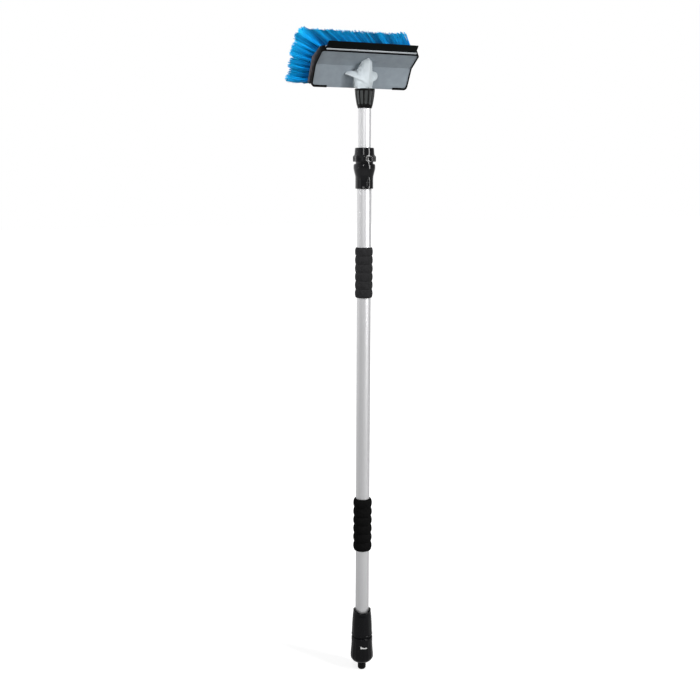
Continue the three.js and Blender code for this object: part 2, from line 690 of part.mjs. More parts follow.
/** Stands a plate on the sleeve's front, `sunk` deeper than the sleeve's face at the mark's ends. */
function onSleeveFront(geometry, sunk) {
  const radius = SLEEVE.neck + 0.2;
  const depth = Math.sqrt(radius ** 2 - (FLOW_MARK.length / 2) ** 2) - sunk;
  const place = new THREE.Vector3(0, -depth, FLOW_MARK.middle);
  return oriented(geometry, X, Z, Y.clone().negate(), place).rotateZ(radians(FLOW_MARK.turn));
}

function flowMark() {
  const inlay = onSleeveFront(flowWedge(0, 10), FLOW_MARK.sunk - GAP);
  const radius = SLEEVE.neck + 0.2 + FLOW_MARK.proud;
  return common(inlay, rod(radius, FLOW_MARK.middle - 10, FLOW_MARK.middle + 10, 64));
}

const NIPPLE_SEAL = { height: -282.4, middle: 7.05, section: 0.8, floor: 6, groove: 2.2 };

/** The plug-in hose nipple: a collar that keeps the sleeve on, and a groove for its seal. */
function hoseNipple() {
  const { bottom, top, radius, neck, collar, bore } = NIPPLE;
  const { height, floor, groove: width } = NIPPLE_SEAL;
  const tail = VALVE_CORE.bore - GAP;
  return turnedRing([
    [bore, bottom],
    [radius - 2.2, bottom],
    [radius - 0.7, bottom + 1.2],
    [radius, bottom + 3],
    ...grooveOutline(height, radius, floor, width),
    [radius, top - 3.6],
    [neck, top - 2.9],
    [neck, top - 1.2],
    [collar, top - 1.2],
    [collar, top],
    [tail, top],
    [tail, top + 14],
    [bore, top + 14],
  ], 24);
}

// ---------------------------------------------------------------- assembly

const broom = new THREE.Group();

function add(name, geometry, finish) {
  const mesh = new THREE.Mesh(geometry, finish);
  mesh.name = name;
  broom.add(mesh);
}

add('head_back_plate', backPlate(), panelGrey);
add('tuft_board', tuftBoard(), boardGrey);
add('bumper', bumper(), bumperRubber);
add('squeegee_rail', squeegeeRail(), panelGrey);
add('squeegee_blade', squeegeeBlade(), bladeRubber);
for (const [name, flat] of [['lower', LOWER], ['upper', UPPER]]) {
  add(`${name}_bristles_left`, bristleStrip(flat, BRISTLE_ROWS[name], -1), bristleBlue);
  add(`${name}_bristles_right`, bristleStrip(flat, BRISTLE_ROWS[name], 1), bristleBlue);
}
add('handle_socket', handleSocket(), socketGrey);
add('socket_washer', socketWasher(), sealRubber);
add('union_nut', unionNut(), satinBlack);
add('tube_end_fitting', tubeEndFitting(), innerWhite);

add('inner_tube', drawnTube(INNER_TUBE), aluminium);
add('slide_plug', slidePlug(), innerWhite);
SLIDE_PLUG.sealHeights.forEach((z, i) => {
  add(`slide_seal_${i + 1}`, oRing(10.05, 0.95, z), sealRubber);
});
add('clamp_nut', clampNut(), glossBlack);
add('clamp_collet', clampCollet(), innerWhite);
add('clamp_body', clampBody(), glossBlack);
add('outer_tube', drawnTube(OUTER_TUBE), aluminium);
add('upper_grip', foamGrip(UPPER_GRIP), foamBlack);
add('lower_grip', foamGrip(LOWER_GRIP), foamBlack);

add('hose_end_body', hoseEndBody(), satinBlack);
add('tube_end_washer', tubeEndWasher(), sealRubber);
add('valve_core', valveCore(), innerWhite);
CORE_SEAL.heights.forEach((z, i) => {
  add(`valve_seal_${i + 1}`, oRing(CORE_SEAL.middle, CORE_SEAL.section, z), sealRubber);
});
add('valve_sleeve', valveSleeve(), satinBlack);
add('flow_mark', flowMark(), markWhite);
add('hose_nipple', hoseNipple(), satinBlack);
add('nipple_seal', oRing(NIPPLE_SEAL.middle, NIPPLE_SEAL.section, NIPPLE_SEAL.height), sealRubber);

export default broom;
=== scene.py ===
import math

import bmesh
import bpy
import numpy as np
from mathutils import Matrix, Vector


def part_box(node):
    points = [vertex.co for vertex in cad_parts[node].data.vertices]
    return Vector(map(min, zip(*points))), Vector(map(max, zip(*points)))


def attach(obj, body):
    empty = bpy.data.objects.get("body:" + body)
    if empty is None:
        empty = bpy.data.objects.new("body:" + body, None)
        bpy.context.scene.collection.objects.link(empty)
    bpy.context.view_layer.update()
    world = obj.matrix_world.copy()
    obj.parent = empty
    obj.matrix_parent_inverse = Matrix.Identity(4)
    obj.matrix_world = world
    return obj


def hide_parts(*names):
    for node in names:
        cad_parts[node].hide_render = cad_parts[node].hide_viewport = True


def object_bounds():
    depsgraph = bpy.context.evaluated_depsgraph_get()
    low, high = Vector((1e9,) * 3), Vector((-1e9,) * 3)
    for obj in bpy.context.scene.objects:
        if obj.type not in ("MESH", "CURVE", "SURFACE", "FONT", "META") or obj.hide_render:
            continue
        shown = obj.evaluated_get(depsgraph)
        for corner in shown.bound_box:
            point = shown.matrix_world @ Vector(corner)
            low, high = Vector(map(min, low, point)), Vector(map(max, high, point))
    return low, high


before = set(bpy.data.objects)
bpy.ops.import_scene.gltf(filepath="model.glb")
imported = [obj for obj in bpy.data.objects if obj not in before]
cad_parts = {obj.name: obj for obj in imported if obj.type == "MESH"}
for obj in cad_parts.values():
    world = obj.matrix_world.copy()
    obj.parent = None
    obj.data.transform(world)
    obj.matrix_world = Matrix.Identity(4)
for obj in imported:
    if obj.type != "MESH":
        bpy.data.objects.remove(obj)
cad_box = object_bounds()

# A telescopic wash and snow broom. Outlines are in millimetres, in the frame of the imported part:
# Z up the pole, X along the head, and the pole joins the head on its -Y side.

MM = 0.001
TURN = math.tau

# ------------ driving sizes

ROUND_STEPS = 96
SHARP_ANGLE = 25
MERGED = 0.002 * MM
OUTER_TUBE = {"radius": 12.5, "wall": 1.2}
INNER_TUBE = {"radius": 11.0, "wall": 1.2}

HEAD = {"half": 89.8, "lower": 40.2, "upper": 35.4, "lower_lean": 28.6, "upper_lean": 56.8}
HEAD_FOOT = Vector((0, 22.4, 789.9))
HEAD_HEIGHT = HEAD["lower"] + HEAD["upper"]
PLATE = {"skin": 2.5, "rim": 3, "depth": 8, "foot_corner": 5, "top_corner": 4.5}
BOARD_FACE = 14.3
FACE_FALLS_FROM = 54
JETS = {"count": 6, "radius": 1.5, "length": 16, "depth": 11}
BUMPER = {
    "gap": 0.3, "wall": 1.4, "lip": 1.1, "overlap": 0.4, "depth": 18.5, "foot_length": 27, "foot_lip": 3.5,
    "bead": 9.5, "recess": 0.35, "rear_corner": 2, "crease_depth": 17.5, "top_depth": 9,
}
RAIL = {
    "half": 83.4, "low": 2, "high": 5.8, "front": -1, "back": 6.4, "lip_low": 3.2, "lip_depth": 2.4, "chamfer": 0.6,
}
BLADE = {
    "half": 83, "root": 4.4, "tip": 18.2, "thick": 2.4, "taper": 0.6, "middle": 1.6, "lean": 14, "slant": 2.2,
    "room": 0.25,
}

BRISTLE = {
    "length": 63.5, "root": 0.37, "sunk": 0.3, "tuft_root": 1.8, "tuft_tip": 5.2, "per_tuft": 70,
    "middle": 1.01, "dome": 0.035,
}
# How much of a bristle's tone comes from its tuft and from itself, at random, and from standing in its tuft's
# middle, which leaves the rim bristles darker as painted shade between the tufts.
TONE_AND_PAINTED_SHADE = {"tuft": 0.55, "own": 0.15, "middle": 0.3}
BRISTLE_ROWS = {"lower": 5, "upper": 4}
BRISTLE_COLUMNS = 19
BRISTLE_FAN = {
    "foot_rise": 4.5, "top_rise": 34, "foot_flare": 20.5, "top_flare": 14, "foot_lean": 3, "top_lean": 7.5,
    "corner": 2.5,
}
TUFT_INSET = {"foot": 0.8, "crease": 0.8, "top": 3.7, "end": 4.5, "middle": 1.8, "stagger": 0.25}
# How steeply the tufts of a row lean up the head, which draws the rows together in pairs.
CLUMPED_ROWS = {0: 0.012, 1: -0.012, 2: 0.014, 3: -0.014, 4: 0.015, 5: -0.015, 6: 0.015, 7: -0.015}
# How far chance takes tufts and bristles out of their pattern, in millimetres, radians or as slopes.
CHANCE = {
    "tuft_length": 0.7, "tuft_lean": 0.009, "turn": 0.3, "length": 0.35, "lean": 0.005, "bend": 0.8, "sag": 0.4,
}
GOLDEN_TURN = 2.39996


# ------------ modelling by hand

def deselect():
    bpy.ops.object.select_all(action="DESELECT")


def choose(piece):
    deselect()
    piece.select_set(True)
    bpy.context.view_layer.objects.active = piece


def edit(piece):
    choose(piece)
    bpy.ops.object.mode_set(mode="EDIT")


def leave_edit():
    bpy.ops.object.mode_set(mode="OBJECT")


def select_all():
    bpy.ops.mesh.select_all(action="SELECT")


def pick(piece, kind, test):
    """In edit mode, selects the vertices, edges or faces whose middle, in millimetres, passes the test."""
    bpy.ops.mesh.select_mode(type=kind)
    bpy.ops.mesh.select_all(action="DESELECT")
    shape = bmesh.from_edit_mesh(piece.data)
    elements = {"VERT": shape.verts, "EDGE": shape.edges, "FACE": shape.faces}[kind]
    for element in elements:
        corners = [element] if kind == "VERT" else element.verts
        middle = sum((corner.co for corner in corners), Vector()) / len(corners) / MM
        if test(middle):
            element.select_set(True)
    shape.select_flush_mode()
    bmesh.update_edit_mesh(piece.data)


def tidy_mesh():
    """In edit mode, merges doubled points and turns every face outwards."""
    select_all()
    bpy.ops.mesh.remove_doubles(threshold=MERGED)
    bpy.ops.mesh.normals_make_consistent(inside=False)


def draw(name, points):
    """A new piece, in edit mode: a line drawn through points in millimetres."""
    deselect()
    bpy.ops.mesh.primitive_plane_add(size=MM)
    piece = bpy.context.object
    piece.name = piece.data.name = name
    bpy.ops.object.mode_set(mode="EDIT")
    bpy.ops.mesh.select_mode(type="VERT")
    bpy.ops.mesh.merge(type="CENTER")
    bpy.ops.transform.translate(value=Vector(points[0]) * MM)
    for here, there in zip(points, points[1:]):
        step = (Vector(there) - Vector(here)) * MM
        bpy.ops.mesh.extrude_vertices_move(TRANSFORM_OT_translate={"value": step})
    return piece


def rounded(outline, closed, steps=4):
    """The outline, with each corner that has a third number rounded off from that far away."""
    points = []
    for i, corner in enumerate(outline):
        here = Vector(corner[:2])
        inner = closed or 0 < i < len(outline) - 1
        if len(corner) < 3 or not inner:
            points.append(here)
            continue
        before = Vector(outline[i - 1][:2]) - here
        after = Vector(outline[(i + 1) % len(outline)][:2]) - here
        start = here + before.normalized() * min(corner[2], before.length * 0.49)
        end = here + after.normalized() * min(corner[2], after.length * 0.49)
        for step in range(steps + 1):
            t = step / steps
            points.append(start * (1 - t) ** 2 + here * 2 * t * (1 - t) + end * t ** 2)
    return points


def smooth(piece, angle=32):
    choose(piece)
    bpy.ops.object.shade_smooth_by_angle(angle=math.radians(angle))
    return piece


def spun(name, outline, steps=ROUND_STEPS):
    """A piece turned about the pole's axis from an outline of (radius, z, rounding) corners.

    An outline that starts and ends on the axis is a solid; any other closes on itself as a ring.
    """
    closed = outline[0][0] > 0
    points = [Vector((point.x, 0, point.y)) for point in rounded(outline, closed)]
    piece = draw(name, points + points[:1] if closed else points)
    select_all()
    bpy.ops.mesh.spin(steps=steps, angle=TURN, center=(0, 0, 0), axis=(0, 0, 1))
    tidy_mesh()
    leave_edit()
    return smooth(piece)


def run_along_head(name, points, half):
    """A piece with an outline of points across the head, run along X as far to each side of its middle."""
    corners = [Vector((-half, point.y, point.z)) for point in points]
    piece = draw(name, corners + corners[:1])
    select_all()
    bpy.ops.mesh.remove_doubles(threshold=MERGED)
    bpy.ops.mesh.edge_face_add()
    bpy.ops.mesh.extrude_region_move(TRANSFORM_OT_translate={"value": (2 * half * MM, 0, 0)})
    tidy_mesh()
    leave_edit()
    return piece


def apply_modifier(piece, kind, **settings):
    modifier = piece.modifiers.new(kind.lower(), kind)
    for key, value in settings.items():
        setattr(modifier, key, value)
    choose(piece)
    bpy.ops.object.modifier_apply(modifier=modifier.name)
    return piece


def combine(piece, operation, *others):
    """Cuts the other pieces out of this one, or joins them to it, and takes them away."""
    for other in others:
        apply_modifier(piece, "BOOLEAN", operation=operation, object=other, solver="EXACT")
        bpy.data.objects.remove(other)
    return piece


def soften(piece, width, segments=3):
    """Rounds every sharp edge."""
    apply_modifier(
        piece, "BEVEL", width=width * MM, segments=segments, limit_method="ANGLE",
        angle_limit=math.radians(SHARP_ANGLE), use_clamp_overlap=True,
    )
    return smooth(piece, 40)


def squeeze(piece, test, factor):
    """Scales the points that pass the test towards the pole's axis, or away from it."""
    pick(piece, "VERT", test)
    bpy.ops.transform.resize(value=(factor, factor, 1), center_override=(0, 0, 0))


def around(middle):
    """The place round the pole's axis, in turns from the front."""
    return (math.atan2(middle.x, -middle.y) / TURN) % 1


def press(piece, count, rows, depth, turn=0.0):
    """Presses `count` grooves into a turned piece, row by row.

    rows are (radius, z) rings of its outline. depth(share, z) is in millimetres, and share runs from 0
    in a groove's middle to 1 halfway to the next. turn shifts the grooves, in parts of their spacing.
    """
    edit(piece)
    per_groove = ROUND_STEPS / count
    half = per_groove / 2
    for radius, z in rows:
        for column in range(int(half) + 1):
            amount = depth(column / half, z)
            if amount < 0.01:
                continue

            def in_column(middle):
                place = (around(middle) * ROUND_STEPS - turn * per_groove) % per_groove
                on_ring = abs(middle.z - z) < 0.02 and abs(math.hypot(middle.x, middle.y) - radius) < 0.02
                return on_ring and abs(min(place, per_groove - place) - column) < 0.3

            squeeze(piece, in_column, 1 - amount / radius)
    leave_edit()
    return smooth(piece, 45)


def eased(value, low, high):
    """0 below low, 1 above high, and smooth between."""
    share = min(max((value - low) / (high - low), 0.0), 1.0)
    return share * share * (3 - 2 * share)


def flank_rings(heights, radii, rings):
    """Rings of a turned outline, as (radius, z), from its radii at fewer heights."""
    return [(float(np.interp(z, heights, radii)), z) for z in rings]


def at_angle(radius, degrees, z):
    """A place round the pole's axis, at an angle from the front."""
    angle = math.radians(degrees)
    return Vector((radius * math.sin(angle), -radius * math.cos(angle), z))


def keep_at_points(mesh, name, values):
    """Gives each point of a mesh a number, for its material to read."""
    mesh.attributes.new(name, "FLOAT", "POINT").data.foreach_set("value", values)


# ------------ finishes

def add_node(tree, kind, *values, settings=None, **inputs):
    """A node with its settings, and its inputs, in order or by name, from values or other nodes' outputs."""
    node = tree.nodes.new("ShaderNode" + kind)
    for key, value in (settings or {}).items():
        setattr(node, key, value)
    for key, value in [*enumerate(values), *inputs.items()]:
        if isinstance(value, bpy.types.NodeSocket):
            tree.links.new(value, node.inputs[key])
        else:
            node.inputs[key].default_value = value
    return node


def compute(tree, operation, *values):
    """The result of a sum on values and other nodes' outputs."""
    return add_node(tree, "Math", *values, settings={"operation": operation}).outputs[0]


def attribute(tree, name):
    """A number that the mesh keeps at its points."""
    return add_node(tree, "Attribute", settings={"attribute_name": name}).outputs["Fac"]


def own_place(tree):
    return add_node(tree, "TexCoord").outputs["Object"]


def pattern(tree, scale, detail=3.0, stretch=(1, 1, 1)):
    """Noise in the piece's own place, `scale` features to a metre, stretched along the axes."""
    mapping = add_node(tree, "Mapping", Vector=own_place(tree), Scale=stretch)
    noise = add_node(tree, "TexNoise", Vector=mapping.outputs["Vector"], Scale=scale, Detail=detail,
                     Roughness=0.55)
    return noise.outputs["Fac"]


def ranged(tree, value, low, high, to_low, to_high):
    """A value taken from one range to another."""
    return add_node(tree, "MapRange", value, low, high, to_low, to_high).outputs["Result"]


def shades(tree, value, stops):
    """A colour ramp over a value, from (place, colour) stops."""
    node = add_node(tree, "ValToRGB", Fac=value)
    ramp = node.color_ramp.elements
    while len(ramp) < len(stops):
        ramp.new(0.5)
    for element, (place, colour) in zip(ramp, stops):
        element.position = place
        element.color = (*colour, 1)
    return node.outputs["Color"]


def finish(name, shine=0.5, **sockets):
    """A new material and its node tree, with constant sockets of its shader set."""
    material = bpy.data.materials.new(name)
    material.use_nodes = True
    sockets["Specular_IOR_Level"] = shine
    for key, value in sockets.items():
        material.node_tree.nodes["Principled BSDF"].inputs[key.replace("_", " ")].default_value = value
    return material, material.node_tree


def coat(material, colour, roughness, relief=None, height=0.0):
    """The material, with other nodes' outputs for its colour, roughness and relief, in millimetres."""
    tree = material.node_tree
    shader = tree.nodes["Principled BSDF"]
    tree.links.new(colour, shader.inputs["Base Color"])
    tree.links.new(roughness, shader.inputs["Roughness"])
    if relief is not None:
        node = add_node(tree, "Bump", Height=relief, Distance=height * MM, Strength=1.0)
        tree.links.new(node.outputs["Normal"], shader.inputs["Normal"])
    return material


def tint(colour, factor):
    return tuple(channel * factor for channel in colour)


def moulded(name, colour, roughness, grain=0.02, mottle=0.08, painted_hollow_sheen=None, shine=0.5):
    """Injection-moulded plastic: a fine grain, a faint mottle and uneven gloss, and a painted sheen that lightens
    any hollows.
    """
    material, tree = finish(name, shine)
    cloud = pattern(tree, 60, detail=4)
    stops = [(0.3, tint(colour, 1 - mottle)), (0.7, tint(colour, 1 + mottle))]
    if painted_hollow_sheen:
        # The hollows are painted lighter: a painted sheen on the same black plastic.
        cloud = compute(tree, "MULTIPLY_ADD", cloud, 0.25, attribute(tree, "hollow"))
        stops = [(0.3, colour), (0.6, tint(painted_hollow_sheen, 0.35)), (1.0, painted_hollow_sheen)]
    gloss = ranged(tree, pattern(tree, 350), 0.3, 0.7, roughness * 0.9, roughness * 1.12)
    return coat(material, shades(tree, cloud, stops), gloss, pattern(tree, 2600, detail=2), grain)


def drawn_aluminium():
    """Satin anodised tube, with the faint lengthwise lines that drawing leaves."""
    material, tree = finish("drawn aluminium", Metallic=0.75)
    lines = pattern(tree, 900, detail=4, stretch=(1, 1, 0.006))
    cloud = pattern(tree, 14, detail=3, stretch=(1, 1, 0.3))
    stops = [(0.25, (0.64, 0.64, 0.65)), (0.75, (0.72, 0.72, 0.73))]
    mixed = compute(tree, "MULTIPLY_ADD", cloud, 0.4, compute(tree, "MULTIPLY", lines, 0.6))
    return coat(material, shades(tree, mixed, stops), ranged(tree, lines, 0.3, 0.7, 0.45, 0.52), lines, 0.015)


def foam(name, colour, shine):
    """Closed-cell foam: fine pores over a slightly uneven skin."""
    material, tree = finish(name, shine)
    cells = add_node(tree, "TexVoronoi", Vector=own_place(tree), Scale=1500.0)
    skin = pattern(tree, 240, detail=4)
    stops = [(0.3, tint(colour, 0.7)), (0.7, tint(colour, 1.3))]
    pores = compute(tree, "MULTIPLY_ADD", cells.outputs["Distance"], 0.7, skin)
    return coat(material, shades(tree, skin, stops), ranged(tree, skin, 0.3, 0.7, 0.75, 0.92), pores, 0.25)


def soft_rubber(name, colour, roughness, streaks=(1, 1, 1), shine=0.15):
    """Matt rubber with a dusty bloom."""
    material, tree = finish(name, shine)
    bloom = pattern(tree, 180, detail=5, stretch=streaks)
    stops = [(0.35, tint(colour, 0.8)), (0.7, tint(colour, 1.35))]
    gloss = ranged(tree, bloom, 0.3, 0.7, roughness * 0.88, roughness)
    return coat(material, shades(tree, bloom, stops), gloss, pattern(tree, 1600, detail=3), 0.03)


def bumper_rubber():
    """Matt rubber, black on the bead, with the wall behind it painted greyer: a painted light on the same black
    rubber.
    """
    material, tree = finish("bumper rubber", shine=0.04)
    bloom = pattern(tree, 180, detail=5)
    painted_wall_light = compute(tree, "MULTIPLY_ADD", attribute(tree, "painted_wall_light"), 0.6, ranged(tree, bloom, 0.3, 0.7, 0.0, 0.4))
    # The wall's grey stops are painted light: bead and wall are the same black rubber.
    stops = [
        (0.0, (0.003, 0.003, 0.003)), (0.4, (0.005, 0.005, 0.005)),
        (0.6, (0.040, 0.037, 0.040)), (1.0, (0.056, 0.052, 0.058)),
    ]
    gloss = ranged(tree, bloom, 0.3, 0.7, 0.6, 0.75)
    return coat(material, shades(tree, painted_wall_light, stops), gloss, pattern(tree, 1600, detail=3), 0.03)


def filament():
    """Blue bristle: darker at its root, paler at its split tip, each a slightly other blue, and darker at its
    tuft's rim as painted shade between tufts.
    """
    material, tree = finish("blue filament", shine=0.05)
    tone_and_painted_shade = attribute(tree, "tone_and_painted_shade")
    place = compute(tree, "ADD", attribute(tree, "along"), ranged(tree, tone_and_painted_shade, 0.0, 1.0, -0.5, 0.25))
    stops = [
        (0.00, (0.000, 0.130, 0.420)), (0.30, (0.004, 0.340, 0.840)),
        (0.75, (0.010, 0.490, 0.980)), (1.00, (0.025, 0.620, 1.000)),
    ]
    streak = add_node(tree, "VectorMath", shades(tree, place, stops), settings={"operation": "SCALE"},
                      Scale=ranged(tree, tone_and_painted_shade, 0.1, 0.8, 0.40, 1.0))
    return coat(material, streak.outputs["Vector"], ranged(tree, tone_and_painted_shade, 0.0, 1.0, 0.34, 0.5))


# ------------ the bent head's directions

def lean_axes(degrees):
    """The directions up a flat of the head and out of it, for its lean from the pole's axis."""
    angle = math.radians(degrees)
    return Vector((0, -math.sin(angle), math.cos(angle))), Vector((0, math.cos(angle), math.sin(angle)))


LOWER_UP, LOWER_OUT = lean_axes(HEAD["lower_lean"])
UPPER_UP, UPPER_OUT = lean_axes(HEAD["upper_lean"])
CREASE = HEAD_FOOT + LOWER_UP * HEAD["lower"]
HALF_BEND = math.radians(HEAD["upper_lean"] - HEAD["lower_lean"]) / 2
CREASE_OUT = (LOWER_OUT + UPPER_OUT).normalized()


def head_point(s, t, x=0.0):
    """A point of the head: s runs up the panel from its bottom edge, t from its face to the bristles."""
    return flat_point("lower" if s <= HEAD["lower"] else "upper", s, t, x)


def flat_point(flat, s, t, x=0.0):
    """A point of one flat of the head, which may lie past the crease."""
    if flat == "lower":
        point = HEAD_FOOT + LOWER_UP * s + LOWER_OUT * t
    else:
        point = CREASE + UPPER_UP * (s - HEAD["lower"]) + UPPER_OUT * t
    return Vector((x, point.y, point.z))


def crease_point(t):
    return CREASE + CREASE_OUT * (t / math.cos(HALF_BEND))


def head_depth(point):
    """How far a point lies behind the panel's face."""
    from_crease = Vector((0, point.y, point.z)) - CREASE
    above = from_crease.dot(LOWER_UP + UPPER_UP) > 0
    return from_crease.dot(UPPER_OUT if above else LOWER_OUT)


def bent_block(name, grow, from_t, to_t, foot_grow=None, foot_corner=None):
    """The head's bent block with round corners, between two depths, grown past the panel's edges."""
    foot_grow = grow if foot_grow is None else foot_grow
    foot_corner = PLATE["foot_corner"] + grow if foot_corner is None else foot_corner
    top = HEAD_HEIGHT + grow
    outline = [
        head_point(-foot_grow, from_t), crease_point(from_t), head_point(top, from_t),
        head_point(top, to_t), crease_point(to_t), head_point(-foot_grow, to_t),
    ]
    half = HEAD["half"] + grow
    piece = run_along_head(name, outline, half)
    middle_t = (from_t + to_t) / 2
    corners = [(-foot_grow, foot_corner), (top, PLATE["top_corner"] + grow)]
    edit(piece)
    for s, radius in corners:
        place = head_point(s, middle_t)
        pick(piece, "EDGE", lambda m: math.hypot(m.y - place.y, m.z - place.z) < 0.1 and abs(m.x) > half - 1)
        bpy.ops.mesh.bevel(offset=max(radius, 0.5) * MM, segments=8, affect="EDGES")
    leave_edit()
    return piece


# ------------ head

def back_plate():
    """The bent grey moulding: a skin with a rim round its edge, and the water hole."""
    plate = bent_block("back_plate", 0, 0, PLATE["depth"])
    inside = bent_block("inside", -PLATE["rim"], PLATE["skin"], PLATE["depth"] + 4)
    hole = spun("hole", [(0, 790), (6, 790), (6, 850), (0, 850)], 48)
    combine(plate, "DIFFERENCE", inside, hole)
    return soften(plate, 0.45)


def sloped_depth(depth, from_s, s):
    """The depth at s of a slope that falls from a depth, part way up the head, to the bumper's thin top."""
    slope = (depth - BUMPER["top_depth"]) / (HEAD_HEIGHT + BUMPER["wall"] - from_s)
    return depth - slope * (s - from_s)


def fall_away(depth, from_s):
    """All that lies behind that slope, reaching past the head's top and ends."""
    past_s, past_t = HEAD_HEIGHT + BUMPER["wall"] + 5, 60
    outline = [flat_point("upper", from_s, depth), flat_point("upper", past_s, sloped_depth(depth, from_s, past_s)),
               flat_point("upper", past_s, past_t), crease_point(past_t)]
    return run_along_head("behind", outline, HEAD["half"] + 5)


def tuft_board():
    """The block that holds the tufts: it thins towards its top edge, and has a row of water jets."""
    board = bent_block("tuft_board", 0, 8.3, BOARD_FACE)
    jets = []
    for place in range(JETS["count"]):
        middle = crease_point(JETS["depth"]) * MM
        middle.x = HEAD["half"] * ((place + 0.5) / (JETS["count"] / 2) - 1) * MM
        deselect()
        bpy.ops.mesh.primitive_cylinder_add(vertices=24, radius=JETS["radius"] * MM, depth=JETS["length"] * MM,
                                            location=middle, rotation=CREASE_OUT.to_track_quat("Z", "X").to_euler())
        jets.append(bpy.context.object)
        bpy.ops.object.transform_apply()
    combine(board, "DIFFERENCE", fall_away(BOARD_FACE, FACE_FALLS_FROM), *jets)
    return soften(board, 0.3, 2)


def bumper():
    """The soft band round the head's ends and top, with a lip over the panel and two feet.

    Its front bead is black, and the wall behind it stands back a little and is painted greyer, a painted light on
    the same black rubber.
    """
    gap, wall, bead = BUMPER["gap"], BUMPER["wall"], BUMPER["bead"]
    band = bent_block("bumper", gap + wall, -BUMPER["lip"], bead, gap)
    rear = bent_block("rear", gap + wall - BUMPER["recess"], bead - 1, BUMPER["depth"], gap, BUMPER["rear_corner"])
    block = bent_block("block", gap, -gap, BUMPER["depth"] + 5, 5)
    window = bent_block("window", -BUMPER["overlap"], -5, 0.2, -BUMPER["foot_lip"])
    corner = PLATE["foot_corner"]
    foot = [head_point(s, t) for s, t in ((-5, -5), (corner, -5), (corner, 25), (-5, 25))]
    opening = run_along_head("opening", foot, HEAD["half"] - BUMPER["foot_length"])
    combine(band, "UNION", rear)
    combine(band, "DIFFERENCE", block, window, opening, fall_away(BUMPER["crease_depth"], HEAD["lower"]))
    soften(band, 0.3, 2)
    # Marks the wall behind the bead, which its material paints greyer as painted light.
    depths = [head_depth(vertex.co / MM) for vertex in band.data.vertices]
    keep_at_points(band.data, "painted_wall_light", [eased(depth, bead - 0.2, bead + 0.2) for depth in depths])
    return band


def past_top(past, t):
    """A point past the head's top edge."""
    return head_point(HEAD_HEIGHT + past, t)


def squeegee_rail():
    """The light rail on the head's top edge, open along its top for the blade."""
    half, low, high, front, back, lip_low, lip_depth, chamfer = RAIL.values()
    lip_back = front + lip_depth
    outline = [
        past_top(low, lip_back), past_top(lip_low, lip_back), past_top(lip_low, front),
        past_top(high - chamfer, front), past_top(high, front + chamfer), past_top(high, back), past_top(low, back),
    ]
    rail = run_along_head("squeegee_rail", outline, half)
    combine(rail, "DIFFERENCE", run_along_head("slot", blade_outline(BLADE["room"]), half + 2))
    return soften(rail, 0.25, 2)


def blade_outline(grow):
    """The blade from its side, thinned to its tip, and grown by some room for its slot."""
    rise = math.tan(math.radians(BLADE["lean"]))
    half, taper = BLADE["thick"] / 2, BLADE["taper"]
    root, tip = BLADE["root"] - grow, BLADE["tip"] + grow
    middle_root, middle_tip = (BLADE["middle"] + (past - BLADE["root"]) * rise for past in (root, tip))
    return [
        past_top(root, middle_root - half - grow), past_top(tip, middle_tip - half * taper - grow),
        past_top(tip, middle_tip + half * taper + grow), past_top(root, middle_root + half + grow),
    ]


def squeegee_blade():
    """The rubber blade, cut at a slant at its left end."""
    blade = run_along_head("squeegee_blade", blade_outline(0), BLADE["half"])
    root_z = past_top(BLADE["root"], 0).z
    edit(blade)
    pick(blade, "VERT", lambda m: m.x < 0 and abs(m.z - root_z) < 3)
    bpy.ops.transform.translate(value=(-BLADE["slant"] * MM, 0, 0))
    leave_edit()
    return soften(blade, 0.3, 2)


# ------------ bristles

def open_cone(foot_radius, top_radius, length, middle):
    """A three-sided cone up Z without end faces."""
    deselect()
    bpy.ops.mesh.primitive_cone_add(vertices=3, radius1=foot_radius, radius2=top_radius, depth=length,
                                    location=(0, 0, middle), end_fill_type="NOTHING")
    return bpy.context.object


def model_strand():
    """One bristle up Z: three sides, waved a little, with two short split ends at its tip."""
    stem = open_cone(1, 0.75, 1, 0.5)
    edit(stem)
    sways = {0.33: 0.5, 0.66: -0.5}
    for height in sways:
        select_all()
        bpy.ops.mesh.bisect(plane_co=(0, 0, height), plane_no=(0, 0, 1))
    for height, sway in sways.items():
        pick(stem, "VERT", lambda m: abs(m.z * MM - height) < 0.01)
        bpy.ops.transform.translate(value=(sway, 0, 0))
    leave_edit()
    ends = []
    for side in (-1, 1):
        end = open_cone(0.65, 0.4, 0.16, 0.92)
        edit(end)
        pick(end, "VERT", lambda m: m.z > 0)
        bpy.ops.transform.translate(value=(side * 1.8, side * 0.7, 0))
        leave_edit()
        bpy.ops.object.transform_apply(location=True)
        ends.append(end)
    choose(stem)
    bpy.ops.object.transform_apply(location=True)
    for end in ends:
        end.select_set(True)
    bpy.ops.object.join()
    return stem


def bristle_direction(up, x):
    """Bristles fan up the head, flare at its ends and top corners, and lean a little to the left."""
    across = x / HEAD["half"]
    fan = BRISTLE_FAN
    rise = fan["foot_rise"] + (fan["top_rise"] - fan["foot_rise"]) * up
    rise += fan["corner"] * up * eased(abs(across), 0.72, 0.92)
    flare = (fan["foot_flare"] + (fan["top_flare"] - fan["foot_flare"]) * up) * across
    flare = math.radians(flare - fan["foot_lean"] - (fan["top_lean"] - fan["foot_lean"]) * up)
    out = lean_axes(rise)[1]
    return out * math.cos(flare) + Vector((math.sin(flare), 0, 0))


def face_depth(flat, s):
    """The depth of the tuft board's face, which falls away towards the top of the head."""
    falls = flat == "upper" and s > FACE_FALLS_FROM
    return sloped_depth(BOARD_FACE, FACE_FALLS_FROM, s) if falls else BOARD_FACE


